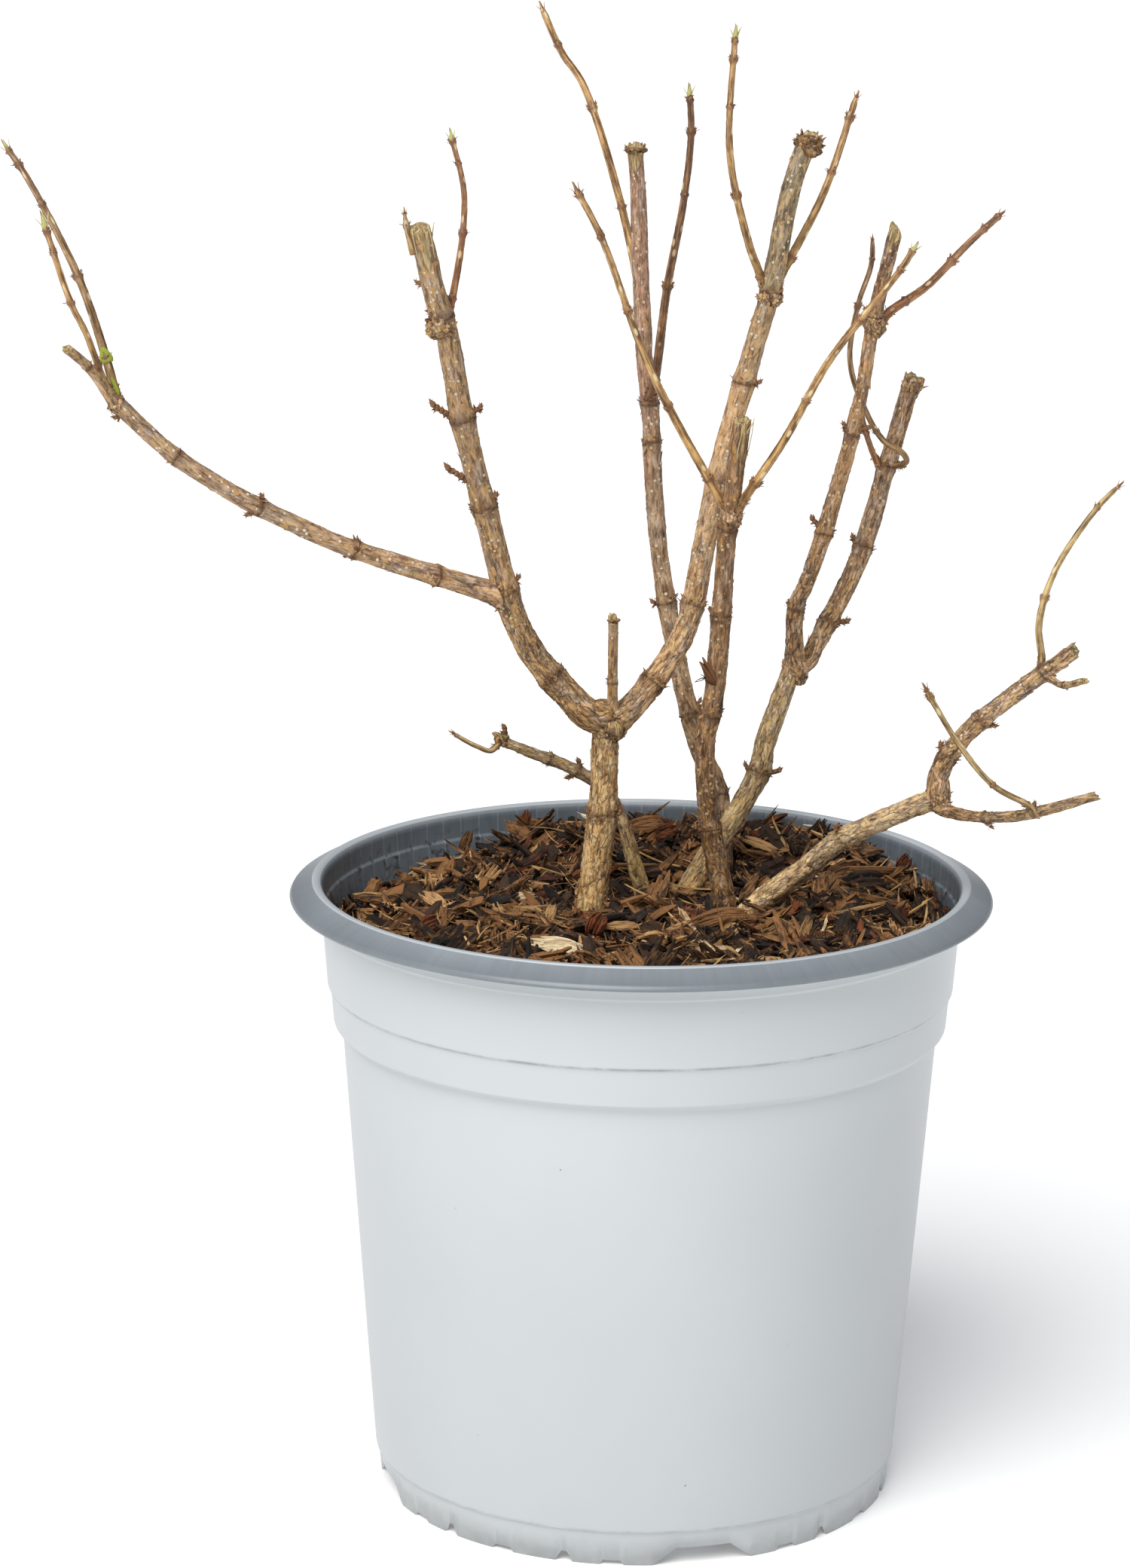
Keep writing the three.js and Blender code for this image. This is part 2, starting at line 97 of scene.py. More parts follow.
BOUGHS = {
    "left_upright_bough": ("grey olive", (0.9, 0.25), (8.8, 6.6), (0.13, 0.32, 0.48, 0.65, 0.84), [
        (-12, 6, 52), (-17, 4, 53), (-28, 2, 64), (-37, -1, 76), (-43, -4, 90), (-51, -10, 122),
        (-58, -16, 152), (-63, -22, 181), (-67, -25, 195), (-71, -28, 214)]),
    "tall_centre_bough": ("olive topped", (0.8, 0.22), (7.8, 6), (0.1, 0.24, 0.44, 0.6, 0.75), [
        (-12, 6, 50), (-7, 7, 52), (9, 14, 71), (14, 17, 81), (23, 23, 127), (34, 24, 170),
        (39, 22, 189), (45, 19, 222), (50, 17, 239)]),
    "left_arching_bough": ("grey rosy", (0.5, 0.3), (6.6, 4.7), (0.16, 0.36, 0.6, 0.82, 0.99), [
        (-46, -5, 94), (-91, -20, 111), (-120, -28, 125), (-146, -34, 142), (-165, -38, 160)]),
    "right_tall_bough": ("dark topped", (0.8, 0.4), (5.6, 4.2), (0.14, 0.32, 0.55, 0.81), [
        (50, 41, 61), (50, 38, 83), (54, 37, 93), (62, 33, 122), (69, 29, 154), (73, 27, 181),
        (79, 24, 209)]),
    "right_outer_bough": ("purple brown", (0.8, 0.6), (6.3, 5.8), (0.19, 0.45, 0.71), [
        (50, 41, 61), (54, 44, 63), (58, 48, 70), (70, 56, 93), (80, 63, 126), (88, 66, 155)]),
    "low_right_upper_bough": ("rosy tan", (1.0, 0.85), (6.2, 5.2), (0.22, 0.45, 0.82), [
        (95, -15, 31), (95, -16, 40), (102, -18, 52), (116, -22, 66), (136, -28, 83)]),
    "low_right_side_bough": ("dull tan", (0.8, 0.6), (3.8, 3.2), (0.31, 0.62), [
        (95, -16, 29), (101, -22, 28), (118, -36, 31), (142, -52, 42)]),
    "centre_stub": ("grey olive", (0.1, 0.1), (3.2, 3.2), (0.3,), [
        (-10, 5, 54), (-10, 2, 66), (-10, -6, 87)]),
    "far_left_stub": ("dull tan", (0.5, 0.3), (3, 2.8), (0.6,), [
        (-165, -39, 160), (-172, -50, 173), (-177, -60, 180)]),
    "low_right_stub": ("dull tan", (0.7, 0.4), (2.2, 2.1), (0.5,), [
        (128, -26, 74), (132, -33, 73), (138, -40, 76)]),
}
# One-year shoots: as above, but the second entry is the end bud's length and width, and if it is
# green
SHOOTS = {
    "left_top_shoot": ("reddish", (4.5, 2.0, True), (2.5, 1.6), (0.16, 0.48, 0.82, 0.93), [
        (-64, -23, 182), (-62, -20, 188), (-58, -10, 221), (-63, -6, 243)]),
    "left_top_dead_twig": ("grey dead", (3.0, 1.3, False), (1.9, 1.5), (0.6,), [
        (-73, -28, 206), (-75, -29, 214), (-76, -30, 221)]),
    "far_left_long_shoot": ("brown", (5.5, 2.2, True), (3, 1.8), (0.17, 0.46, 0.73, 0.89, 0.95), [
        (-164, -38, 159), (-169, -34, 176), (-177, -30, 198), (-193, -22, 227), (-202, -17, 239)]),
    "far_left_short_shoot": ("ochre", (6.5, 2.6, True), (2.2, 1.8), (0.2, 0.54, 0.79, 0.89), [
        (-165, -38, 161), (-168, -41, 167), (-173, -46, 183), (-177, -48, 192), (-186, -50, 221)]),
    "centre_top_left_shoot": ("ochre", (5, 2.3, True), (2.7, 1.9), (0.08, 0.4, 0.72, 0.88, 0.94), [
        (38, 22, 187), (35, 20, 196), (32, 16, 204), (25, 3, 235), (26, -6, 276)]),
    "centre_top_right_shoot": ("ochre", (3.5, 2.0, False), (2.9, 2.1), (0.19, 0.62, 0.87), [
        (39, 22, 187), (43, 24, 195), (56, 37, 219), (67, 48, 251)]),
    "back_tall_shoot": ("ochre", (4.5, 2.0, False), (3, 2.2), (0.15, 0.44, 0.7, 0.88), [
        (-1, 68, 158), (-2, 78, 165), (-3, 86, 178), (-10, 96, 209), (-23, 104, 247),
        (-30, 106, 257), (-38, 108, 274)]),
    "back_straight_shoot": ("umber", (5.0, 2.3, True), (3.2, 2), (0.1, 0.4, 0.68, 0.86, 0.95), [
        (0, 66, 146), (2, 60, 152), (6, 48, 186), (11, 40, 216), (13, 37, 238), (12, 35, 254)]),
    "centre_left_shoot": ("ochre", (5.0, 2.2, False), (3, 1.9), (0.12, 0.35, 0.63, 0.84, 0.96), [
        (27, -12, 122), (22, -13, 130), (1, -25, 170), (-15, -34, 213), (-24, -37, 230)]),
    "centre_right_shoot": ("ochre", (4.2, 2.2, True), (2.9, 2), (0.12, 0.42, 0.71, 0.9, 0.97), [
        (28, -12, 122), (32, -13, 129), (43, -18, 147), (57, -23, 174), (78, -28, 203),
        (83, -30, 212)]),
    "right_top_shoot": ("reddish", (4.0, 2.2, False), (2.9, 2.1), (0.22, 0.58, 0.84, 0.95), [
        (74, 27, 177), (77, 29, 181), (90, 38, 189), (104, 48, 202), (116, 55, 212)]),
    "right_short_shoot": ("reddish", (3.5, 1.8, False), (2.2, 1.6), (0.55,), [
        (79, 63, 122), (76, 61, 128), (72, 56, 139), (69, 53, 152)]),
    "right_looping_shoot": ("brown", (4.0, 1.8, False), (2.1, 1.6), (0.27, 0.74, 0.91), [
        (80, 63, 125), (86, 58, 128), (84, 54, 132), (78, 52, 136), (70, 48, 150), (66, 45, 164),
        (68, 41, 182), (72, 39, 196), (72, 36, 206)]),
    "low_right_tall_shoot": ("straw", (3.5, 1.8, False), (2.4, 1.7), (0.36, 0.83), [
        (125, -24, 73), (126, -22, 79), (125, -19, 89), (130, -12, 105), (143, -5, 124),
        (152, -2, 133)]),
    "low_right_side_shoot": ("straw", (4.0, 2.0, False), (2, 1.7), (0.32, 0.91), [
        (124, -41, 33), (122, -43, 36), (110, -49, 44), (98, -55, 59), (86, -59, 79)]),
    "low_left_twig": ("grey dead", (3.0, 1.5, False), (1.7, 1.4), (0.85,), [
        (-47, 29, 38), (-50, 28, 35), (-55, 26, 37), (-64, 22, 43)]),
}

# Tops where bark has split away: how far down, how wide in radians, and which way it faces
SPLIT_TOPS = {
    "left_upright_bough": (13.0, 0.9, (0.1, -1, 0)),
    "centre_front_stem": (17.0, 0.75, (0.75, -1, 0)),
    "right_tall_bough": (6.0, 1.1, (-0.4, -1, 0)),
    "back_stem": (8.0, 1.2, (-0.2, -1, 0)),
}
# Clean cuts: their slant in millimetres, which way their high side faces, and how torn they are
SLANTED_CUTS = {"left_upright_bough": (1.1, (-0.3, 1, 0), 0.3),
                "right_tall_bough": (2.0, (-1, 0.5, 0), 0.3)}
# Bare wood that has gone dark: how much of its paleness is left
DULL_WOOD = {"tall_centre_bough": 0.25, "right_outer_bough": 0.25, "centre_front_stem": 0.6}
# How far up algae reaches from three stems' feet
ALGAE_REACH = {"front_left_stem": 17.0, "right_rear_stem": 22.0, "low_left_stem": 30.0}

FOOT_FLARE, FLARE_REACH = 0.3, 16.0
BUD_LENGTH = 6.0
# Shoots over this length have scales around their foot, and no node stands this near a tip
LONG_SHOOT, TIP_ROOM = 30.0, 4.0
# Spurs over this length are stout and lean more
LONG_SPUR = 5.0


# Small tools

def linear(hex_colour):
    """An sRGB hex colour as linear red, green, blue and alpha."""
    parts = [int(hex_colour[i:i + 2], 16) / 255 for i in (1, 3, 5)]
    return [p / 12.92 if p <= 0.04045 else ((p + 0.055) / 1.055) ** 2.4 for p in parts] + [1.0]


def dimmed(colour, *shares):
    """A colour with its red, green and blue taken down by one share, or by three."""
    shares = shares * 3 if len(shares) == 1 else shares
    return [colour[k] * shares[k] for k in range(3)] + [1.0]


def add(tree, kind, *values, out=0, stops=(), **named):
    """Adds a node and gives one of its outputs. Values fill its inputs in order, or by number from
    a dictionary, and capitalised words fill them by name; a socket is linked. Small words are the
    node's own settings, and stops are a ramp's places and colours."""
    made = tree.nodes.new(kind if "Node" in kind else "ShaderNode" + kind)
    fills = dict(values[0] if values and isinstance(values[0], dict) else enumerate(values))
    for key, value in named.items():
        if key[0].isupper():
            fills[key.replace("_", " ")] = value
        else:
            setattr(made, key, value)
    for key, value in fills.items():
        if isinstance(value, bpy.types.NodeSocket):
            tree.links.new(value, made.inputs[key])
        else:
            made.inputs[key].default_value = value
    for _ in stops[2:]:
        made.color_ramp.elements.new(0.5)
    for (spot, colour), element in zip(stops, made.color_ramp.elements if stops else ()):
        element.position, element.color = spot, colour
    return made.outputs[out] if made.outputs else made


# How a Math node multiplies, and how it multiplies and adds a third value
TIMES = {"operation": "MULTIPLY"}
TIMES_PLUS = {"operation": "MULTIPLY_ADD"}


def new_material(name):
    """An empty node material, and the tool that adds its nodes."""
    made = bpy.data.materials.new(name)
    made.use_nodes = True
    made.node_tree.nodes.clear()
    return made, functools.partial(add, made.node_tree)


def coated(node, colour, *coats):
    """A colour with coats laid over it: each is one or more shares, multiplied, and its colour."""
    for share, *others, coat in coats:
        for other in others:
            share = node("Math", share, other, **TIMES)
        colour = node("Mix", {0: share, 6: colour, 7: coat}, data_type="RGBA", out=2)
    return colour


def finish_surface(node, colour, roughness, bump=None, strength=0.3, depth=0.0002, **constants):
    """Joins colour, roughness and bump to a Principled shader and the material's output."""
    inputs = {"Base Color": colour, "Roughness": roughness, **constants}
    if bump is not None:
        inputs["Normal"] = node("Bump", Strength=strength, Distance=depth, Height=bump)
    node("OutputMaterial", Surface=node("BsdfPrincipled", inputs))


def new_piece(name, vertices, faces, materials, smooth=True, attributes=None, indices=None):
    """A mesh object at the origin, from places in millimetres."""
    mesh = bpy.data.meshes.new(name)
    mesh.from_pydata((np.asarray(vertices) * MM).tolist(), [], [list(map(int, f)) for f in faces])
    for material in materials:
        mesh.materials.append(material)
    if indices is not None:
        mesh.polygons.foreach_set("material_index", np.asarray(indices, np.int32))
    mesh.polygons.foreach_set("use_smooth", np.full(len(mesh.polygons), smooth))
    for key, values in (attributes or {}).items():
        values = np.asarray(values, np.float32)
        kind, field = ("FLOAT", "value") if values.ndim == 1 else ("FLOAT_VECTOR", "vector")
        mesh.attributes.new(key, kind, "POINT").data.foreach_set(field, values.ravel())
    mesh.update()
    made = bpy.data.objects.new(name, mesh)
    bpy.context.scene.collection.objects.link(made)
    return made


def tube(rings, sides, first=0, ends=None):
    """Faces of a tube of rings: four-sided walls, with flat ends, none if ends is empty, or a fan
    at each end round a vertex of its own."""
    side = np.arange(sides)
    after = (side + 1) % sides
    at = first + np.arange(rings - 1)[:, None] * sides
    walls = np.stack([at + side, at + after, at + sides + after, at + sides + side], -1)
    faces = walls.reshape(-1, 4).tolist()
    last = first + (rings - 1) * sides
    if ends is None:
        faces += [[first + j for j in reversed(range(sides))], [last + j for j in range(sides)]]
    elif ends:
        faces += [[last + a, last + b, ends[1]] for a, b in zip(side, after)]
        faces += [[first + b, first + a, ends[0]] for a, b in zip(side, after)]
    return faces


def inside_out(faces):
    """Faces that look the other way, with their first vertex kept."""
    return [[face[0], *face[:0:-1]] for face in faces]


def settle(piece):
    """Turns a piece's modifiers into plain mesh and removes them."""
    bpy.context.view_layer.update()
    graph = bpy.context.evaluated_depsgraph_get()
    made = bpy.data.meshes.new_from_object(piece.evaluated_get(graph), depsgraph=graph,
                                           preserve_all_data_layers=True)
    piece.modifiers.clear()
    piece.data = made
    return piece


def ride(piece, slot, *nodes):
    """Puts a piece on the object's one body and hides the nodes it stands for. The slot is not
    used.
    """
    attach(piece, "root")
    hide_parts(*nodes)


def hashed(cell, seed):
    """A repeatable number from 0 to 1 for each whole-number cell."""
    n = (cell[..., 0] * 73856093) ^ (cell[..., 1] * 19349663) ^ (cell[..., 2] * 83492791)
    n = (n ^ (seed * 668265263)) & 0xFFFFFFFF
    for _ in range(2):
        n = ((n ^ (n >> 16)) * 0x45D9F3B) & 0xFFFFFFFF
    return ((n ^ (n >> 16)) & 0xFFFFFFFF) / 4294967295.0


def noise(place, seed, *size):
    """Smooth noise from -1 to 1, with features of this size: one number, or one for each way."""
    place = place / (np.array(size) if size else 1)
    cell = np.floor(place).astype(np.int64)
    part = place - cell
    part = part * part * (3 - 2 * part)
    total = 0
    for corner in itertools.product((0, 1), repeat=3):
        weight = 1
        for axis in range(3):
            weight = weight * (part[..., axis] if corner[axis] else 1 - part[..., axis])
        total = total + weight * hashed(cell + np.array(corner), seed)
    return total * 2 - 1


def cracked(place, seed):
    """Plates around scattered points: distance to the edge, the plate's own number, and the way
    along it from its middle."""
    cell = np.floor(place).astype(np.int64)
    nearest = np.full(place.shape[:-1], 9.0)
    second, number, along = nearest.copy(), nearest.copy(), nearest.copy()
    for step in itertools.product((-1, 0, 1), repeat=3):
        near = cell + np.array(step)
        spot = near + np.stack([hashed(near, seed + k) for k in range(3)], -1) * 0.86
        away = place - spot
        distance = np.sqrt((away ** 2).sum(-1))
        closer = distance < nearest
        second = np.where(closer, nearest, np.minimum(second, distance))
        nearest = np.where(closer, distance, nearest)
        number = np.where(closer, hashed(near, seed + 7), number)
        along = np.where(closer, away[..., 2], along)
    return second - nearest, number, along


def eased(low, high, x):
    """0 below low, 1 above high, and a smooth rise between."""
    t = np.clip((x - low) / (high - low), 0, 1)
    return t * t * (3 - 2 * t)


# Limbs

def curve_points(course, per_span=80):
    """Places along a centripetal Catmull-Rom curve, as the part's source draws it."""
    p = np.array(course, float)
    p[:, 2] += POT_HEIGHT
    p = np.vstack([2 * p[0] - p[1], p, 2 * p[-1] - p[-2]])
    t = np.linspace(0, 1, per_span, endpoint=False)[:, None]
    spans = []
    for i in range(1, len(p) - 2):
        x0, x1, x2, x3 = p[i - 1:i + 3]
        d0, d1, d2 = (math.sqrt(np.linalg.norm(b - a)) for a, b in ((x0, x1), (x1, x2), (x2, x3)))
        lean1 = ((x1 - x0) / d0 - (x2 - x0) / (d0 + d1) + (x2 - x1) / d1) * d1
        lean2 = ((x2 - x1) / d1 - (x3 - x1) / (d1 + d2) + (x3 - x2) / d2) * d1
        spans.append(x1 + lean1 * t + (3 * x2 - 3 * x1 - 2 * lean1 - lean2) * t ** 2
                     + (2 * x1 - 2 * x2 + lean1 + lean2) * t ** 3)
    return np.vstack([*spans, p[-2][None]])


class Limb:
    """One stem, bough or shoot: its course with a frame at each step, and its radius."""

    def __init__(self, kind, name, bark, facts, width, knots, course):
        self.kind, self.name, self.bark, self.facts = kind, name, bark, facts
        self.width, self.knots, self.mean = width, knots, sum(width) / 4
        raw = curve_points(course)
        way = np.concatenate([[0], np.cumsum(np.linalg.norm(np.diff(raw, axis=0), axis=1))])
        self.length = way[-1]
        step = 0.42 if kind == "shoot" else 0.6
        self.s = np.linspace(0, self.length, int(self.length / step) + 1)
        self.centre = np.stack([np.interp(self.s, way, raw[:, k]) for k in range(3)], 1)
        ahead = np.gradient(self.centre, axis=0)
        self.ahead = ahead / np.linalg.norm(ahead, axis=1)[:, None]
        across = np.cross((0, 1, 0), self.ahead[0])
        self.across = np.zeros_like(self.centre)
        for i, way_on in enumerate(self.ahead):
            across = across - way_on * across.dot(way_on)
            across = across / np.linalg.norm(across)
            self.across[i] = across
        self.beside = np.cross(self.ahead, self.across)

    def radius(self, s):
        """Radius in millimetres at the distance s along the limb."""
        foot, tip = self.width
        radius = (foot + (tip - foot) * s / self.length) / 2
        # Each knot is a wide swelling and a narrow one: how high, and how quickly they fall away
        swells = (((0.12, 1.2), (0.15, 2.8)) if self.kind == "shoot"
                  else ((0.085, 1 / 1.4), (0.0595, 2.5)))
        for knot in self.knots:
            away = (s - knot * self.length) / (tip * 0.45)
            swell = sum(high * np.exp(-(away * quick) ** 2) for high, quick in swells)
            radius = radius * (1 + swell)
        if self.kind == "stem":
            radius = radius * (1 + FOOT_FLARE * np.exp(-s / FLARE_REACH))
        return radius

    def near_knot(self, s, reach):
        """1 at a knot and 0 beyond its reach in millimetres."""
        return np.max([np.exp(-((s - knot * self.length) / reach) ** 2) for knot in self.knots],
                      axis=0)

    def step_at(self, s):
        """The number of the step at the distance s."""
        return int(np.clip(round(s / self.length * (len(self.s) - 1)), 0, len(self.s) - 1))

    def facing(self, s, direction):
        """The angle around the limb that looks most in this direction."""
        i, direction = self.step_at(s), np.array(direction, float)
        return math.atan2(self.beside[i] @ direction, self.across[i] @ direction)

    def outward(self, i, angle):
        """The way out of the limb at a step, at this angle around it."""
        return self.across[i] * math.cos(angle) + self.beside[i] * math.sin(angle)

    def at(self, s, angle=0.0, out=0.0):
        """Place on the limb's side, with the ways out, along and around there."""
        i = self.step_at(s)
        outward = self.outward(i, angle)
        return (self.centre[i] + outward * (float(self.radius(np.array(s))) + out), outward,
                self.ahead[i], np.cross(self.ahead[i], outward))


LIMBS = {name: Limb(kind, name, *facts)
         for kind, group in (("stem", STEMS), ("bough", BOUGHS), ("shoot", SHOOTS))
         for name, facts in group.items()}
for count, limb_name in enumerate(sorted(LIMBS)):
    LIMBS[limb_name].number = count


def skin(limb, radii, shifts, sides, cap_rings, cap_shape):
    """The closed skin of a limb from its radii and end shifts on a grid of rings and sides,
    with rings that close its tip and one face at its foot."""
    turn = np.arange(sides) / sides * TAU
    outward = (limb.across[:, None] * np.cos(turn)[None, :, None]
               + limb.beside[:, None] * np.sin(turn)[None, :, None])
    body = (limb.centre[:, None] + outward * radii[..., None]
            + limb.ahead[:, None] * shifts[..., None])
    rings = [body]
    ahead, centre = limb.ahead[-1], limb.centre[-1]
    flat = body[-1] - centre
    along = flat @ ahead
    for k in range(1, cap_rings):
        share = 1 - k / cap_rings
        ring = centre + (flat - along[:, None] * ahead) * share
        rings.append((ring + ahead * (along * share + along.mean() * (1 - share)
                                      + cap_shape(share, turn))[:, None])[None])
    grid = np.concatenate(rings)
    top = grid[-1].mean(0) + ahead * (cap_shape(0.0, turn[:1])[0] * 0.2)
    vertices = np.concatenate([grid.reshape(-1, 3), top[None], grid[0].mean(0)[None]])
    total = len(grid) * sides
    return vertices, tube(len(grid), sides, ends=(total + 1, total))


def grown(limb, sides, relief, depth, cap_rings=6, cap_shape=None, tip_jag=None):
    """Vertices, faces and attributes of a limb's bark, with its relief pressed into it."""
    turn = np.arange(sides) / sides * TAU
    around = turn[None] + 0 * limb.s[:, None]
    s = limb.s[:, None] + 0 * around
    place = np.stack([limb.mean * np.cos(around), limb.mean * np.sin(around),
                      s + 37.0 * (limb.number + 1)], -1)
    height, masks = relief(limb, place, s, around)
    shifts = 0 * s
    if tip_jag is not None:
        shifts = eased(limb.length - 6.0, limb.length, s) * tip_jag(turn)[None]
    flat = cap_shape or (lambda share, turn: 0 * turn)
    vertices, faces = skin(limb, limb.radius(limb.s)[:, None] + height * depth, shifts, sides,
                           cap_rings, flat)
    attributes = {}
    masks["place"] = place * MM
    for key, grid in masks.items():
        rings = [grid]
        for k in range(1, cap_rings):
            last = grid[-1:].copy()
            if key == "place":
                last[..., :2] *= 1 - k / cap_rings
                last[..., 2] += 0.3 * MM * k
            if key == "raw":
                last[:] = 1
            rings.append(last)
        whole = np.concatenate(rings).reshape(-1, *grid.shape[2:])
        attributes[key] = np.concatenate([whole, whole[-1:], whole[:1]])
    return vertices, faces, attributes


def old_bark(limb, place, s, turn):
    """Cracks, lifted flakes and ridges of old wood, in millimetres of height."""
    seed = limb.number * 11 + 3
    wander = np.stack([noise(place, seed + k, 3.2) + 0.4 * noise(place, seed + 20 + k, 1.3)
                       for k in range(3)], -1)
    warped = place + wander * np.array([0.8, 0.8, 1.7])
    edge, flake, along = cracked(warped / np.array([2.0, 2.0, 4.4]), seed)
    here = eased(-0.35, 0.35, noise(place, seed + 4, 3.5, 3.5, 7.0))
    crack = (1 - eased(0.02, 0.17, edge)) * (0.25 + 0.75 * here)
    low, high = limb.facts
    rough = low + (high - low) * eased(0.08, 0.5, s / limb.length)
    ridges = noise(warped, seed + 5, 1.0, 1.0, 9.0)
    flutes = noise(place, seed + 6, 2.6, 2.6, 22.0)
    lumps = noise(place, seed + 7, 5.0, 5.0, 8.0)
    height = (-0.26 * crack + 0.26 * (flake - 0.4) + 0.34 * along * (flake > 0.5)) * rough
    height = (height + 0.13 * ridges * (0.4 + rough) + 0.2 * flutes + 0.26 * lumps
              + 0.07 * noise(place, seed + 8, 0.8))
    # Torn rings stand around each knot, with a seam in the middle
    knot = limb.near_knot(s, limb.width[1] * 0.3)
    tilted = s + 0.5 * np.cos(turn - seed) + 0.7 * noise(place, seed + 9, 2.5)
    rings = np.abs(np.sin(tilted * 2.3)) ** 0.6
    height = height + knot * (0.34 * rings - 0.1 + 0.2 * noise(place, seed + 10, 1.4))
    seam = limb.near_knot(s + 0.8 * noise(place, seed + 11, 3.0), 0.4)
    height = (height - 0.3 * seam) * min(1.0, limb.mean / 3.0 + 0.1) + collar(limb, s) * limb.mean
    raw = eased(limb.length - 0.9, limb.length - 0.2, s + 0.6 * noise(place, seed + 12, 1.2))
    crack = crack * rough
    if limb.name in SPLIT_TOPS:
        reach, spread, direction = SPLIT_TOPS[limb.name]
        off = (turn - limb.facing(limb.length, direction) + math.pi) % TAU - math.pi
        share = np.clip(1 - (limb.length - s) / reach, 0, 1)
        edge_off = np.abs(off) - spread * share ** 0.6 - 0.12 * noise(place, seed + 13, 1.5)
        bare = (1 - eased(-0.08, 0.08, edge_off)) * (share > 0)
        slit = np.exp(-((off - 0.28 - 0.1 * noise(place, seed + 15, 3.0)) / 0.1) ** 2) * bare
        outline = np.exp(-((edge_off - 0.05) / 0.1) ** 2) * (share > 0.02)
        height = height - 0.45 * bare - 0.5 * slit
        raw = np.maximum(raw, bare)
        crack = np.maximum(crack * (1 - bare), np.maximum(slit, outline))
    algae = 0 * s
    if limb.name in ALGAE_REACH:
        reach = ALGAE_REACH[limb.name]
        patch = 0.85 + 0.5 * noise(place, seed + 14, 4.5)
        algae = np.clip((1 - eased(reach * 0.6, reach, s)) * patch, 0, 1)
    return height, {"crack": np.clip(np.maximum(crack, seam * 1.3), 0, 1.2), "flake": flake,
                    "climb": s / limb.length, "knot": knot, "algae": algae, "rough": rough,
                    "raw": raw * DULL_WOOD.get(limb.name, 1.0)}


def collar(limb, s):
    """The swelling where a limb grows out of its parent, as a share of its mean radius."""
    swell = 0.0 if limb.kind == "stem" else 0.06 if limb.name == "right_outer_bough" else 0.34
    return swell * np.exp(-np.maximum(s - 2.0, 0) / (1.1 * limb.width[0]))


def young_bark(limb, place, s, turn):
    """Smooth one-year bark with a thin raised ring and leaf cushions at each node."""
    seed = limb.number * 11 + 5
    height = 0.05 * noise(place, seed, 0.8, 0.8, 9.0) + 0.05 * noise(place, seed + 1, 1.1)
    for number, share in enumerate(limb.knots):
        away = s - share * limb.length
        facing = np.cos((turn - node_turn(limb, number)) * 2) * 0.5 + 0.5
        cushion = np.exp(-((away + 0.5) / 0.8) ** 2) * facing ** 2
        height = height + limb.mean * 0.3 * cushion + 0.1 * np.exp(-((away + 0.1) / 0.28) ** 2)
    bud = 1 - eased(0, BUD_LENGTH * 0.9, limb.length - s)
    height = height - bud * limb.radius(s) * 0.85 + collar(limb, s) * limb.mean
    return height, {"knot": limb.near_knot(s, 1.0), "climb": s / limb.length,
                    "base": np.exp(-s / 7.0)}


def node_turn(limb, number):
    """Which way a node's first bud faces: each pair stands a quarter turn from the last."""
    return hashed(np.array([limb.number, 5, 9]), 3) * TAU + number * math.pi / 2


# Materials

def shades(middle, tint):
    """A ramp's stops: five tones of one bark, from the dark of a crack to the cream of a lifted
    edge."""
    base = np.array(middle[:3]) * np.array(tint[:3])
    tones = base * np.array([[0.24, 0.2, 0.17], [0.62, 0.55, 0.46], [1.0, 0.97, 0.92],
                             [1.42, 1.43, 1.38], [1.95, 2.05, 2.05]])
    tones = tones * np.minimum(1, 0.82 / tones.max(axis=1))[:, None]
    return [(spot, (*row, 1.0)) for spot, row in zip((0.05, 0.33, 0.5, 0.66, 0.92), tones)]


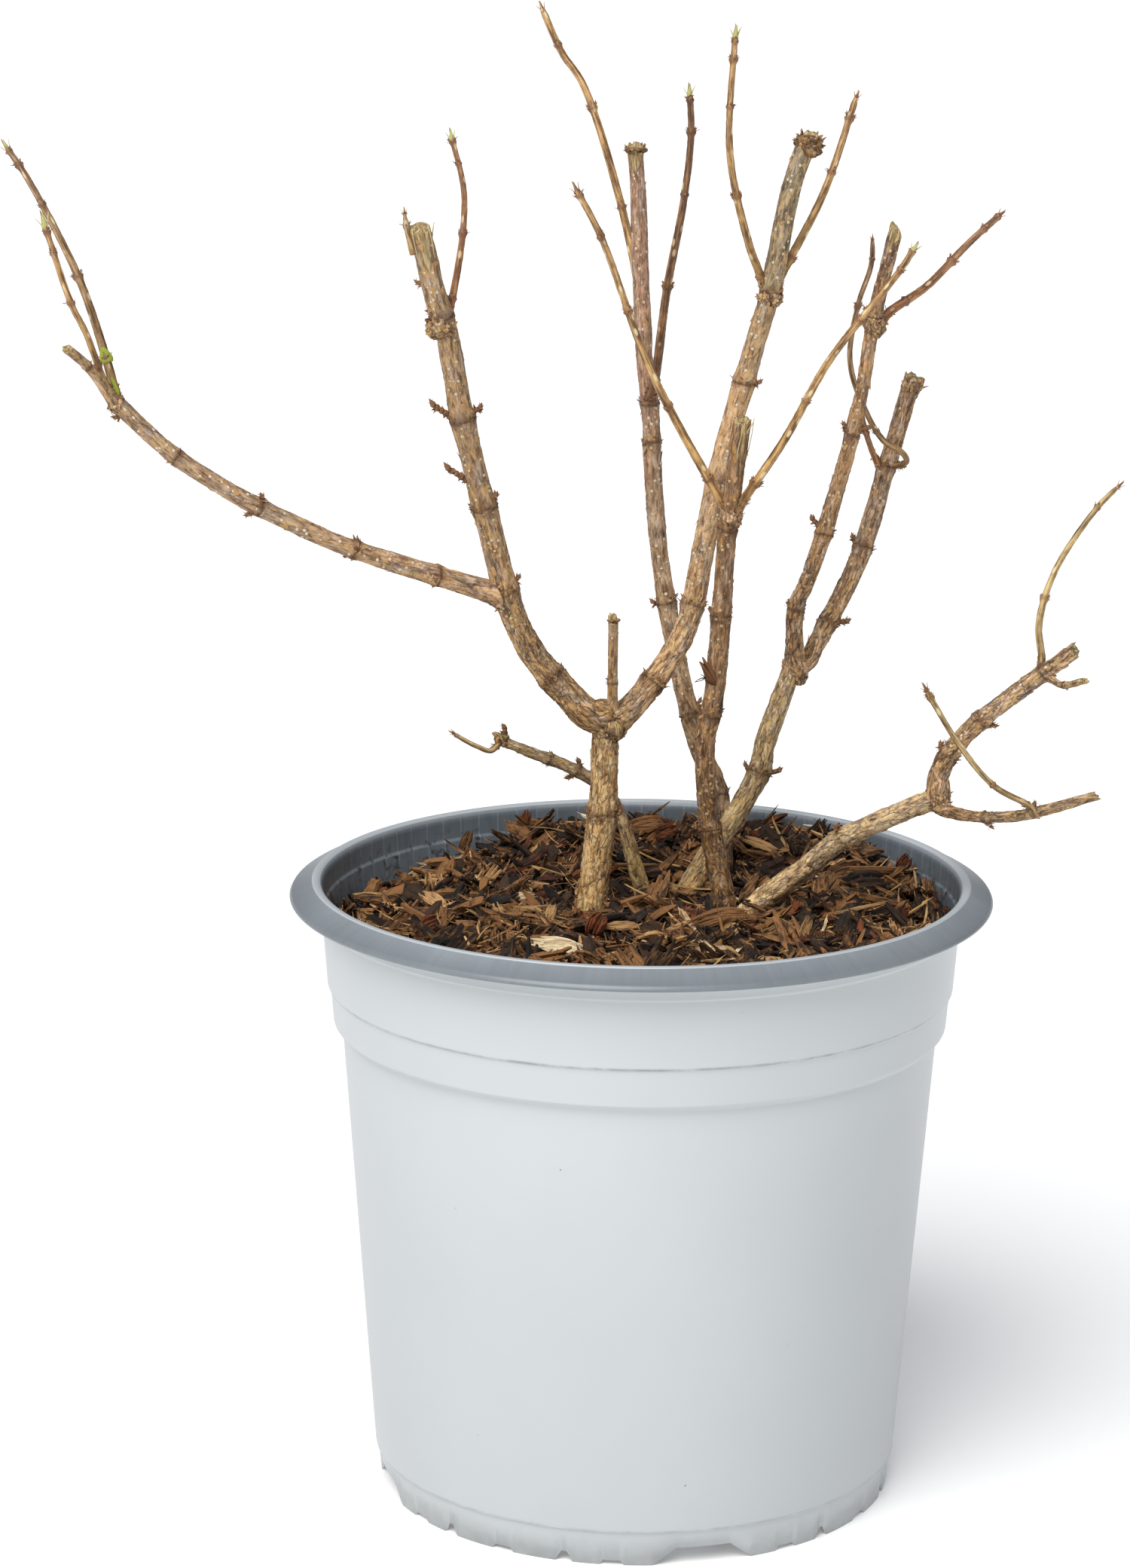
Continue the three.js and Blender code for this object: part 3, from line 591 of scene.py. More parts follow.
def bark_material(settings, name, foot, top, pore, pore_amount, gold, golden, change=(0.4, 0.8),
                  film_share=0.7):
    """Flaking hydrangea bark, grown: dry, matt and papery. foot and top are its middle tones low
    and high on the limb, and change is where on it one gives way to the other."""
    made, node = new_material(name)
    place = node("Attribute", attribute_name="place", out=1)
    crack, flake, climb, knot, raw, algae, rough = (
        node("Attribute", attribute_name=key, out=2)
        for key in ("crack", "flake", "climb", "knot", "raw", "algae", "rough"))
    wander = node("TexNoise", Vector=place, Scale=420.0, out=1)
    warped = node("VectorMath", wander, (0.0011, 0.0011, 0.0022), place, **TIMES_PLUS)
    # Strips of skin 1.3 mm wide and 5 mm long, a cool grey film in patches 3 by 10 mm, flecks of
    # inner bark 0.7 by 2.5 mm, fibres 0.4 mm apart, and the rays of the end grain
    skin_strips, film, fleck, fibre, rays = (
        node("TexNoise", Vector=node("Mapping", Vector=base, Scale=(1.0, 1.0, squeeze)),
             Scale=scale, Detail=detail, Roughness=roughness, Distortion=distortion)
        for base, squeeze, scale, detail, roughness, distortion in (
            (warped, 0.26, 600.0, 4.0, 0.6, 0.5), (warped, 0.3, 300.0, 3.0, 0.6, 0.0),
            (warped, 0.3, 720.0, 3.0, 0.6, 0.0), (place, 0.12, 2000.0, 4.0, 0.7, 0.0),
            (place, 0.12, 1300.0, 3.0, 0.5, 0.0)))
    patch = node("TexNoise", Vector=place, Scale=210.0, Detail=4.0, Roughness=0.65)
    tone = -1.6
    for field, factor in ((skin_strips, 2.1), (fibre, 1.6), (patch, 0.45), (flake, 0.1)):
        tone = node("Math", field, factor, tone, **TIMES_PLUS)
    # Worn bark is the most mottled; smooth young bark keeps about half of it
    strong = node("MapRange", rough, 0.25, 0.8, 0.8, 1.2)
    tone = node("Math", node("Math", tone, 0.5, operation="SUBTRACT"), strong, 0.5, **TIMES_PLUS)
    low, high, grey = (node("ValToRGB", tone, stops=shades(middle, settings.tint))
                       for middle in (linear(foot), linear(top), settings.film))
    rise = node("Math", patch, 0.5, climb, **TIMES_PLUS)
    # Dark lines 0.3 mm wide braid along the strips' edges, and worn wood has hair cracks between
    # plates 2 by 5 mm
    line = node("Math", node("Math", skin_strips, 0.5, operation="SUBTRACT"), operation="ABSOLUTE")
    line = node("Math", node("MapRange", line, 0.004, 0.03, 1.0, 0.0),
                node("MapRange", patch, 0.35, 0.6, 0.15, 0.8), **TIMES)
    plates = node("Mapping", Vector=warped, Scale=(1.0, 1.0, 0.38))
    net = node("TexVoronoi", Vector=plates, Scale=480.0, feature="DISTANCE_TO_EDGE")
    net = node("Math", node("MapRange", net, 0.015, 0.085, 1.0, 0.0),
               node("MapRange", patch, 0.62, 0.46, 0.0, 0.8), **TIMES)
    lines = node("Math", node("Math", line, net, operation="MAXIMUM"),
                 node("MapRange", rough, 0.1, 0.8, 0.1, 0.8), **TIMES)
    # Pale raised pores about 1 mm across, 2.6 mm apart
    dots = node("TexVoronoi", Vector=place, Scale=380.0)
    dot = node("Math", node("MapRange", dots, 0.16, 0.25, 0.8, 0.0),
               node("MapRange", climb, 0.05, 0.3, 0.0, pore_amount * 1.3), use_clamp=True, **TIMES)
    # Weathered end grain and torn wood
    wood = coated(node, dimmed(settings.end_grain, 0.39, 0.296, 0.217),
                  (node("MapRange", rays, 0.4, 0.7), settings.end_grain))
    colour = coated(
        node, low, (node("MapRange", rise, *change), high),
        (node("MapRange", film, 0.47, 0.6, 0.0, film_share), grey),
        (node("MapRange", fleck, 0.57 - 0.07 * golden, 0.64 - 0.07 * golden, 0.0, 0.85), strong,
         linear(gold)),
        (lines, settings.crack), (dot, linear(pore)),
        (algae, node("MapRange", patch, 0.4, 0.6, 0.05, 0.4), settings.algae),
        (knot, node("MapRange", fibre, 0.4, 0.62, 0.1, 0.85), settings.knot_ring),
        (raw, wood), (crack, 0.6, settings.crack))
    bump = fibre
    for field, factor in ((dot, 0.9), (skin_strips, 1.0), (lines, -1.1)):
        bump = node("Math", field, factor, bump, **TIMES_PLUS)
    finish_surface(node, colour, 0.84, bump, 0.8, 0.0004)
    return made


def shoot_material(settings, name, foot, top, pore, knot_colour):
    """Smooth one-year hydrangea bark, grown: a thin waxy skin with a slight sheen and pale pores.
    foot and top are its middle tones at both ends."""
    made, node = new_material(name)
    place = node("Attribute", attribute_name="place", out=1)
    climb, knot, base = (node("Attribute", attribute_name=key, out=2)
                         for key in ("climb", "knot", "base"))
    stretched = node("Mapping", Vector=place, Scale=(1.0, 1.0, 0.07))
    streak = node("TexNoise", Vector=stretched, Scale=1300.0, Detail=4.0, Roughness=0.65)
    patch = node("TexNoise", Vector=place, Scale=330.0, Detail=4.0)
    tone = node("Math", patch, 0.7, node("Math", streak, 2.6, -1.18, **TIMES_PLUS), **TIMES_PLUS)
    low, high = (node("ValToRGB", tone, stops=shades(linear(middle), settings.tint))
                 for middle in (foot, top))
    # Pores are short pale dashes along the shoot, 0.7 by 1.6 mm
    dashes = node("Mapping", Vector=place, Scale=(1.0, 1.0, 0.42))
    dot = node("MapRange", node("TexVoronoi", Vector=dashes, Scale=380.0), 0.15, 0.26, 0.85, 0.0)
    rise = node("Math", patch, 0.9, climb, **TIMES_PLUS)
    colour = coated(node, low, (node("MapRange", rise, 0.5, 1.3), high), (dot, linear(pore)),
                    (knot, 0.75, linear(knot_colour)), (base, 0.6, settings.foot_red))
    finish_surface(node, colour, 0.5, node("Math", dot, 0.8, streak, **TIMES_PLUS), 0.35)
    return made


def plain_wood(name, colour):
    """Scales, buds or chips of one plain base colour, with fine fibres in the bump."""
    made, node = new_material(name)
    grain = node("TexNoise", Vector=node("TexCoord", out="Object"), Scale=1400.0, Detail=3.0)
    finish_surface(node, linear(colour) if isinstance(colour, str) else colour, 0.8, grain, 0.4)
    return made


def chip_material(name, tint, dark, middle, light):
    """Shredded pine bark: dry and fibrous, split along its grain, with darker and paler chips."""
    made, node = new_material(name)
    grain = node("Attribute", attribute_name="grain", out=1)
    tone = node("Attribute", attribute_name="tone", out=2)
    moved = node("VectorMath", grain, node("Math", tone, 40.0, **TIMES), operation="ADD")
    stretched = node("Mapping", Vector=moved, Scale=(0.16, 1.0, 1.0))
    fibre = node("TexNoise", Vector=stretched, Scale=22.0, Detail=5.0, Roughness=0.7)
    cloud = node("TexNoise", Vector=moved, Scale=3.0)
    shade = -1.2
    for field, factor in ((fibre, 2.2), (cloud, 1.0), (tone, 0.6)):
        shade = node("Math", field, factor, shade, **TIMES_PLUS)
    stops = [(spot, dimmed(linear(colour), *tint[:3]))
             for spot, colour in ((0.15, dark), (0.5, middle), (0.95, light))]
    finish_surface(node, node("ValToRGB", shade, stops=stops), 0.85, fibre, 0.8, 0.0006)
    return made


def chip_bed_material():
    """Fine bark crumbs in shade: dark brown and matt, in grains of 1 to 3 mm."""
    made, node = new_material("fine dark bark crumbs")
    place = node("TexCoord", out="Object")
    cloud = node("TexNoise", Vector=place, Scale=300.0, Detail=5.0, Roughness=0.7)
    stops = [(spot, linear(colour))
             for spot, colour in ((0.3, "#100a07"), (0.5, "#25170f"), (0.75, "#54371f"))]
    finish_surface(node, node("ValToRGB", cloud, stops=stops), 0.95,
                   node("TexVoronoi", Vector=place, Scale=420.0), 1.0, 0.0015)
    return made


def pot_outside_material(settings):
    """Thermoformed polypropylene with white pigment: satin, faintly bluish, dusty and specked."""
    made, node = new_material("satin white polypropylene")
    place = node("TexCoord", out="Object")
    cloud, where, broken, ripple = (
        node("TexNoise", Vector=place, Scale=scale, Detail=detail, Roughness=roughness)
        for scale, detail, roughness in ((14.0, 5.0, 0.5), (30.0, 3.0, 0.5), (90.0, 5.0, 0.7),
                                         (60.0, 2.0, 0.5)))
    tall = node("SeparateXYZ", place, out=2)
    # Dirt: a few specks 0.3 to 0.7 mm across, and lines about 0.5 mm wide at the steps, the
    # collar's foot and the base line: how deep each lies, how strong and how wide it is
    specks = node("MapRange", node("TexVoronoi", Vector=place, Scale=130.0), 0.02, 0.06, 0.8, 0.0)
    stops = [(0.0, 0.25), (1 - (BASE_LINE + 4) / POT_HEIGHT, 0.1)]
    for depth, strength, half in ((BASE_LINE, 0.75, 0.5), (46.8, 0.22, 0.35), (34.5, 0.9, 0.4),
                                  (11.6, 0.8, 0.35)):
        stops += [(1 - (depth + off) / POT_HEIGHT, value)
                  for off, value in ((half, 0.0), (0, strength), (-half, 0.0))]
    share = node("Math", tall, POT_HEIGHT * MM, operation="DIVIDE")
    stops = [(spot, (value, value, value, 1)) for spot, value in stops]
    lines = node("ValToRGB", share, stops=stops)
    # Painted shade: towards the foot the wall is mixed up to a fifth with dark grey, fading out 170
    # mm up
    colour = coated(
        node, dimmed(settings.outside, 0.897), (cloud, settings.outside),
        (node("MapRange", tall, 0.0, 0.17, 0.2, 0.0), linear("#4f5254")),
        (specks, node("MapRange", where, 0.57, 0.66), settings.dirt),
        (lines, node("MapRange", broken, 0.38, 0.6, 0.2, 1.0), settings.dirt_amount, settings.dirt))
    finish_surface(node, colour, 0.34, ripple, 0.04, 0.001)
    return made


def pot_inside_material(settings):
    """The same sheet's silver grey side, rolled over at the rim: satin with slanting drag marks."""
    made, node = new_material("silver grey polypropylene")
    wrap = node("Attribute", attribute_name="wrap", out=1)
    inside, pale, grime = (node("Attribute", attribute_name=key, out=2)
                           for key in ("inside", "pale", "grime"))
    slanting = node("Mapping", Vector=wrap, Rotation=(0.0, 0.0, 0.6), Scale=(1.0, 0.1, 1.0))
    drag = node("TexNoise", Vector=slanting, Scale=500.0, Detail=4.0)
    spot = node("TexCoord", out="Object")
    cloud = node("TexNoise", Vector=spot, Scale=25.0, Detail=4.0)
    broken = node("TexNoise", Vector=spot, Scale=320.0, Detail=3.0)
    streaks = node("MapRange", node("Math", drag, 0.5, cloud, **TIMES_PLUS), 0.45, 1.05)
    radius = node("VectorMath", node("VectorMath", spot, (1.0, 1.0, 0.0), **TIMES),
                  operation="LENGTH", out="Value")
    # Faint pale lines run up the inside, 7.5 mm apart
    stripe = node("Math", node("SeparateXYZ", wrap), TAU / (7.5 * MM), **TIMES)
    stripe = node("MapRange", node("Math", stripe, operation="COSINE"), 0.975, 1.0, 0.0, 0.5)
    # Painted shade: the wall above the mulch is the same sheet as the rim but takes a darker colour
    deep = coated(node, dimmed(settings.inside, 0.52), (streaks, settings.inside),
                  (stripe, cloud, linear("#c5ccd1")))
    # Painted shade: the flange is darker towards its outer edge
    colour = coated(
        node, dimmed(settings.rim, 0.7), (streaks, settings.rim),
        (node("MapRange", radius, 0.1065, 0.1135, 0.0, 0.5), dimmed(settings.rim, 0.45)),
        # Painted highlight: the pale band along the rim's crest
        (inside, deep), (pale, linear("#c6ccd0")),
        (grime, node("MapRange", broken, 0.55, 0.66), settings.dirt_amount,
         dimmed(settings.dirt, 0.4)))
    finish_surface(node, colour, 0.34, drag, 0.05, 0.0004)
    return made


# The pot

def up(depth):
    """Height above the ground of a place that is this deep below the rim's crest."""
    return POT_HEIGHT - depth


def rounded(profile, radius, steps=3):
    """A profile with each marked corner turned into a short arc."""
    points = np.array(profile, float)
    out = [points[0]]
    for before, here, after in zip(points[:-2], points[1:-1], points[2:]):
        back, on = before - here, after - here
        cut = min(radius, 0.4 * np.linalg.norm(back), 0.4 * np.linalg.norm(on))
        start = here + back / np.linalg.norm(back) * cut
        end = here + on / np.linalg.norm(on) * cut
        for t in np.linspace(0, 1, steps + 1):
            out.append((1 - t) ** 2 * start + 2 * t * (1 - t) * here + t ** 2 * end)
    return np.array([*out, points[-1]])


def foot_notches():
    """Each notch of the foot skirt: its angle in degrees, its widths and its height."""
    return [(FIRST_ARCH + group * 360 / FOOT_GROUPS + offset, foot, top, height)
            for group in range(FOOT_GROUPS) for offset, foot, top, height in NOTCHES]


def notch_height(angle):
    """How high the foot skirt is cut away at this angle in degrees."""
    best = 0.0
    for turn, foot, top, height in foot_notches():
        away = abs((angle - turn + 180) % 360 - 180) * math.pi / 180 * FOOT_RADIUS
        best = max(best, height * float(np.clip((foot / 2 - away) / ((foot - top) / 2), 0, 1)))
    return best


def ring_angles():
    """Angles around the pot: every degree, and the exact corners of each notch."""
    angles = set(np.arange(0, 360, 1.0).tolist())
    for turn, foot, top, _ in foot_notches():
        for away in (-foot / 2, foot / 2, -top / 2, top / 2):
            angle = (turn + away / FOOT_RADIUS * 180 / math.pi) % 360
            angles = {a for a in angles if abs(a - angle) > 0.3} | {angle}
    return np.array(sorted(angles))


def pot_line():
    """The wall's section, with rounded corners, from the foot's inside, out and up to the rim, and
    down the inside, and the number of its point at the rim's outer edge."""
    outer = rounded([
        (FOOT_RADIUS, 0), (85.55, up(BASE_LINE + 0.7)), (85.95, up(BASE_LINE + 0.25)),
        (86.5, up(BASE_LINE)), (97.3, up(49.1)), (100.2, up(46.9)), (101.2, up(35.1)),
        (102.2, up(34.3)), (103.9, up(12.0)), (104.8, up(11.4)), (104.8, up(3.6))], 0.6)
    rim = rounded([
        outer[-1], (112.8, up(5.7)), (114.1, up(6.1)), (RIM_RADIUS, up(5.3)), (113.8, up(4.1)),
        (107.2, up(0.6)), (106.9, up(0.1)), (105.5, up(0))], 0.45)[1:]
    inner = rounded([
        rim[-1], (104.1, up(0.9)), (103.5, up(2.6)), (103.3, up(8.6)), (102.5, up(9.3)),
        (100.9, up(34.1)), (99.9, up(35.0)), (98.9, up(46.6)), (96.0, up(48.9)),
        (85.3, FLOOR_TOP + 2), (83.3, FLOOR_TOP), (80.0, FLOOR_TOP)], 0.6)[1:]
    line = np.vstack([outer, rim, inner,
                      [(80.0, FLOOR_UNDERSIDE), (83.0, FLOOR_UNDERSIDE), (83.2, 0)]])
    # Long straight stretches get more rings, so that the shading stays even
    dense = [line[0]]
    for a, b in zip(line[:-1], line[1:]):
        pieces = max(1, int(np.linalg.norm(b - a) / 12))
        dense += [a + (b - a) * k / pieces for k in range(1, pieces + 1)]
    line = np.array(dense)
    return line, int(np.argmax(np.abs(line[:, 0] - RIM_RADIUS) < 0.2))


def build_pot(settings):
    """The pot's wall, foot and rolled rim, in place of its node, and its floor."""
    line, outer_end = pot_line()
    angles = ring_angles()
    turns = np.radians(angles)
    radius, height = (line[:, k][:, None] + 0 * turns for k in (0, 1))
    span = up(BASE_LINE + 0.7)
    skirt = (line[:, 1] < span + 1e-6) & (line[:, 0] > 83.1)
    notch = np.array([notch_height(a) for a in angles])
    height = np.where(skirt[:, None], height + notch * (1 - height / span), height)
    vertices = np.stack([radius * np.sin(turns), -radius * np.cos(turns), height], -1)
    rows, sides = radius.shape
    faces = np.array(tube(rows + 1, sides, ends=())) % (rows * sides)
    row = np.arange(rows)
    grey = (row >= outer_end - 2) & (line[:, 1] > FLOOR_UNDERSIDE + 0.5)
    depth = POT_HEIGHT - line[:, 1]
    within = row >= outer_end
    marks = {"grime": np.exp(-((depth - 9.2) / 1.2) ** 2) * within,
             # pale: a painted highlight along the rim's crest
             "pale": ((depth < 0.7) & (line[:, 0] < 107.1)) * 0.75,
             # inside: the wall above the mulch, painted darker than the rim as shade
             "inside": within & (depth > 1.5) & (line[:, 0] < 104.2)}
    attributes = {key: np.repeat(values.astype(float), sides) for key, values in marks.items()}
    attributes["wrap"] = np.stack([turns * 105 * MM + 0 * radius, height * MM, 0 * radius],
                                  -1).reshape(-1, 3)
    made = new_piece("pot_wall", vertices.reshape(-1, 3), faces,
                     [pot_outside_material(settings), pot_inside_material(settings)],
                     attributes=attributes, indices=np.repeat(grey, sides))
    ride(made, "pot_plastic", "pot")
    build_pot_floor(settings)


def build_pot_floor(settings):
    """The pot's floor: a slab with drain holes and a pad under its middle."""
    section = [(PAD_RADIUS - 0.4, 0), (PAD_RADIUS, 0.4), (PAD_RADIUS + 1, FLOOR_UNDERSIDE),
               (82.4, FLOOR_UNDERSIDE), (82.4, FLOOR_TOP)]
    sides = 96
    turns = np.arange(sides) / sides * TAU
    vertices = [(r * math.sin(t), -r * math.cos(t), z) for r, z in section for t in turns]
    total = len(vertices)
    slab = new_piece("pot_floor", vertices + [(0, 0, 0), (0, 0, FLOOR_TOP)],
                     tube(len(section), sides, ends=(total, total + 1)),
                     [bpy.data.materials["satin white polypropylene"]], smooth=False)
    pins, pin_faces, corners = [], [], 20
    hole_radius = settings.drain_width / 2 / MM
    for hole in range(DRAIN_HOLES):
        middle = (hole + 0.5) / DRAIN_HOLES * TAU
        x, y = DRAIN_CIRCLE * math.sin(middle), -DRAIN_CIRCLE * math.cos(middle)
        pin_faces += tube(2, corners, first=len(pins))
        pins += [(x + hole_radius * math.cos(t), y + hole_radius * math.sin(t), z)
                 for z in (2.0, 12.0) for t in np.arange(corners) / corners * TAU]
    cutter = new_piece("drain_pins", pins, pin_faces, [], smooth=False)
    cut = slab.modifiers.new("drain holes", "BOOLEAN")
    cut.object, cut.solver = cutter, "EXACT"
    settle(slab)
    bpy.data.objects.remove(cutter)
    ride(slab, "pot_plastic", "pot")


# Mulch

def mulch_level(x, y):
    """Height of the mulch's loose top, in millimetres above the ground: lower along the pot's
    left wall, heaped up at the back and on the right."""
    r = np.sqrt(x * x + y * y)
    level = MULCH_CENTRE + (MULCH_EDGE - MULCH_CENTRE) * np.clip(r / 102, 0, 1) ** 4
    level = level - 2.6 * eased(60, 100, -x) + 1.0 * eased(10, 70, x) * (1 - eased(70, 100, x))
    level = level + 8.5 * eased(38, 88, y) * eased(-80, -25, x)
    level = level + 3.0 * eased(30, 85, x) * eased(-35, 30, y)
    level = level + 2.0 * eased(25, 75, x) * eased(20, 70, y)
    bumps = 1.5 * np.sin(x * 0.11 + 1.3) * np.cos(y * 0.13 - 0.4)
    bumps = bumps + np.sin(x * 0.23 - y * 0.19 + 2.1)
    return POT_HEIGHT + level + bumps


def build_mulch_bed():
    """The dark fine stuff under the chips, down to the potting mix, and the heap's top for them."""
    rings, sides = 60, 200
    r = np.linspace(0, 1, rings + 1)[1:, None] * (MULCH_WALL - 0.2)
    t = np.arange(sides)[None] / sides * TAU
    x, y = r * np.cos(t), r * np.sin(t)
    top = mulch_level(x, y)
    place = np.stack([x, y, 0 * x], -1)
    bed = top - BED_DEPTH + 1.6 * noise(place, 71, 4.0) + 0.9 * noise(place, 72, 1.7)
    bottom = POT_HEIGHT + MIX_TOP + 0.3
    edge = np.stack([x[-1] * 0.985, y[-1] * 0.985, 0 * x[-1] + bottom], -1)
    vertices = np.vstack([np.stack([x, y, bed], -1).reshape(-1, 3), edge,
                          [[0, 0, bed[0].mean()], [0, 0, bottom]]])
    total = (rings + 1) * sides
    faces = inside_out(tube(rings + 1, sides, ends=(total, total + 1)))
    ride(new_piece("mulch_bed", vertices, faces, [chip_bed_material()]), "mulch", "bark_mulch")
    heap = np.vstack([np.stack([x, y, top], -1).reshape(-1, 3), [[0, 0, top[0].mean()]]])
    # Chips keep clear of the stems' feet
    feet = np.array([LIMBS[name].centre[20][:2] for name in STEMS])
    away = np.min(np.linalg.norm(heap[:, None, :2] - feet[None], axis=2), axis=1)
    return new_piece("mulch_heap", heap, inside_out(tube(rings, sides, ends=())), [],
                     attributes={"room": eased(3.0, 7.0, away)})


def shape_of(name, points, faces, grained=False):
    """A small shape for a tree to repeat, with a unit for each metre; a grained one is flat
    shaded and keeps its places for its grain."""
    made = new_piece(name, points / MM, faces, [], smooth=not grained,
                     attributes={"grain": points} if grained else None)
    bpy.context.scene.collection.objects.unlink(made)
    return made


def chip_shape(name, seed, width, thick, bend, ragged, stations=7, sides=7):
    """One chip of shredded bark, a unit long: a sliver with ridges along its grain, a broken
    outline and ragged ends."""
    rng = np.random.default_rng(seed)
    along = np.linspace(-0.5, 0.5, stations) + rng.uniform(-0.04, 0.04, stations)
    turn = (np.arange(sides) + rng.uniform(-0.3, 0.3, sides)) / sides * TAU
    ridge = 1 + rng.uniform(-0.35, 0.3, sides)
    ridge = ridge / np.maximum(abs(np.cos(turn)), abs(np.sin(turn))) ** 0.5
    lean, twist = rng.uniform(-0.2, 0.2), rng.uniform(-0.8, 0.8)
    points = []
    for k, x in enumerate(along):
        end = 1 - min(1.0, 2 * abs(x)) ** rng.uniform(1.6, 5) * ragged
        wide = width / 2 * end * rng.uniform(0.7, 1.15)
        deep = thick / 2 * (0.45 + 0.55 * end) * rng.uniform(0.7, 1.2)
        shift = rng.uniform(-0.07, 0.07) * width + lean * x
        jag = rng.uniform(-0.1, 0.1, sides) * ragged * (k in (0, stations - 1))
        y, z = wide * np.cos(turn) * ridge, deep * np.sin(turn) * ridge
        cosine, sine = math.cos(twist * x), math.sin(twist * x)
        points.append(np.stack([x + jag, shift + y * cosine - z * sine,
                                y * sine + z * cosine + bend * (x * x - 0.08)], 1))
    faces = [face[::-1] for face in tube(stations, sides)]
    return shape_of(name, np.concatenate(points), faces, grained=True)


def bundle_shape(name, seed, strands, width, thick, bend, ragged):
    """One torn piece of fibrous bark, a unit long: strands side by side with uneven ends."""
    rng = np.random.default_rng(seed)
    points, faces = [], []
    lean, fan = rng.uniform(-0.15, 0.15), rng.uniform(-0.25, 0.35)
    for strand in range(strands):
        side = strand / (strands - 1) - 0.5
        start, stop = -0.5 + rng.uniform(0, ragged), 0.5 - rng.uniform(0, ragged)
        half = width / strands * rng.uniform(0.55, 0.95)
        lift = rng.uniform(-0.35, 0.35) * thick
        faces += [face[::-1] for face in tube(4, 4, first=len(points))]
        for k in range(4):
            x = start + (stop - start) * k / 3
            taper = 1.0 if 0 < k < 3 else rng.uniform(0.15, 0.6)
            y = side * width * (1 + fan * x * 2) + lean * x + rng.uniform(-0.015, 0.015)
            z = lift + bend * (x * x - 0.08) + rng.uniform(-0.02, 0.02)
            points += [(x, y + across * half * taper, z + rise * thick / 2 * taper)
                       for across, rise in ((-1, -0.2), (0.1, 1), (1, 0.2), (-0.1, -1))]
    return shape_of(name, np.array(points), faces, grained=True)


def shape_group(name, shapes):
    """A collection of shapes for a tree to pick from, kept out of the scene."""
    group = bpy.data.collections.new(name)
    for shape in shapes:
        group.objects.link(shape)
    return group


def new_tree(name, inputs):
    """A geometry node tree with its named inputs, the tool that adds its nodes, and what its
    group input gives."""
    tree = bpy.data.node_groups.new(name, "GeometryNodeTree")
    for title, kind in (("Geometry", "Geometry"), *inputs):
        tree.interface.new_socket(title, in_out="INPUT", socket_type="NodeSocket" + kind)
    tree.interface.new_socket("Geometry", in_out="OUTPUT", socket_type="NodeSocketGeometry")
    return tree, functools.partial(add, tree), add(tree, "NodeGroupInput").node.outputs


def finish_tree(node, geometry, bark):
    """Coats the geometry with its bark and hands it out."""
    coat = node("GeometryNodeSetMaterial", Geometry=geometry, Material=bark)
    node("NodeGroupOutput", Geometry=coat)


def mulch_tree():
    """Chips lie on the heap at random, turned along the wall near it and kept inside it."""
    tree, node, given = new_tree("mulch chips", (
        ("Shapes", "Collection"), ("Chips per area", "Float"), ("Seed", "Int"),
        ("Shortest", "Float"), ("Longest", "Float"), ("Tilt", "Float"), ("Lowest", "Float"),
        ("Highest", "Float"), ("Wall radius", "Float"), ("Bark", "Material")))
    room = node("GeometryNodeInputNamedAttribute", Name="room", data_type="FLOAT")
    points = node("GeometryNodeDistributePointsOnFaces", Mesh=given["Geometry"], Seed=given["Seed"],
                  Density=node("Math", given["Chips per area"], room, **TIMES),
                  distribute_method="RANDOM")
    down = node("Math", given["Tilt"], -1.0, **TIMES)
    lift, free, waver, pitch, roll, pick, tone = (
        node("FunctionNodeRandomValue", {2: low, 3: high, "Seed": seed}, data_type="FLOAT", out=1)
        for low, high, seed in ((given["Lowest"], given["Highest"], 11), (-math.pi, math.pi, 21),
                                (1.1, 2.0, 22), (down, given["Tilt"], 23), (-0.7, 0.7, 24),
                                (0.0, 1.0, 25), (0.0, 1.0, 26)))
    laid = node("GeometryNodeSetPosition", Geometry=points, Offset=node("CombineXYZ", {2: lift}))
    x, y, z = node("SeparateXYZ", node("GeometryNodeInputPosition")).node.outputs
    reach = node("VectorMath", node("CombineXYZ", x, y), operation="LENGTH", out="Value")
    # Free to turn in the middle, along the wall within 15 mm of it
    round_wall = node("Math", node("Math", y, x, operation="ARCTAN2"), waver, operation="ADD")
    yaw = node("Mix", {0: node("MapRange", reach, 0.088, 0.092), 2: free, 3: round_wall},
               data_type="FLOAT")
    size = node("Mix", {0: node("Math", pick, 2.2, operation="POWER"), 2: given["Shortest"],
                        3: given["Longest"]}, data_type="FLOAT")
    size = node("Math", size, node("MapRange", reach, 0.085, 0.1, 1.0, 0.75), **TIMES)
    shapes = node("GeometryNodeCollectionInfo", Collection=given["Shapes"], Separate_Children=True,
                  Reset_Children=True)
    chips = node("GeometryNodeInstanceOnPoints", Points=laid, Instance=shapes, Pick_Instance=True,
                 Rotation=node("CombineXYZ", roll, pitch, yaw), Scale=size)
    toned = node("GeometryNodeStoreNamedAttribute", Geometry=chips, Name="tone", Value=tone,
                 data_type="FLOAT", domain="INSTANCE")
    solid = node("GeometryNodeRealizeInstances", Geometry=toned)
    share = node("Math", node("Math", given["Wall radius"], reach, operation="DIVIDE"), 1.0,
                 operation="MINIMUM")
    held = node("CombineXYZ", node("Math", x, share, **TIMES), node("Math", y, share, **TIMES), z)
    finish_tree(node, node("GeometryNodeSetPosition", Geometry=solid, Position=held), given["Bark"])
    return tree


def run_tree(name, base, tree, values):
    """A piece made by a node tree on a copy of the base mesh, as a plain mesh."""
    made = bpy.data.objects.new(name, base.data.copy())
    bpy.context.scene.collection.objects.link(made)
    nodes = made.modifiers.new(name, "NODES")
    nodes.node_group = tree
    for item in tree.interface.items_tree:
        if item.in_out == "INPUT" and item.name in values:
            nodes[item.identifier] = values[item.name]
    return settle(made)


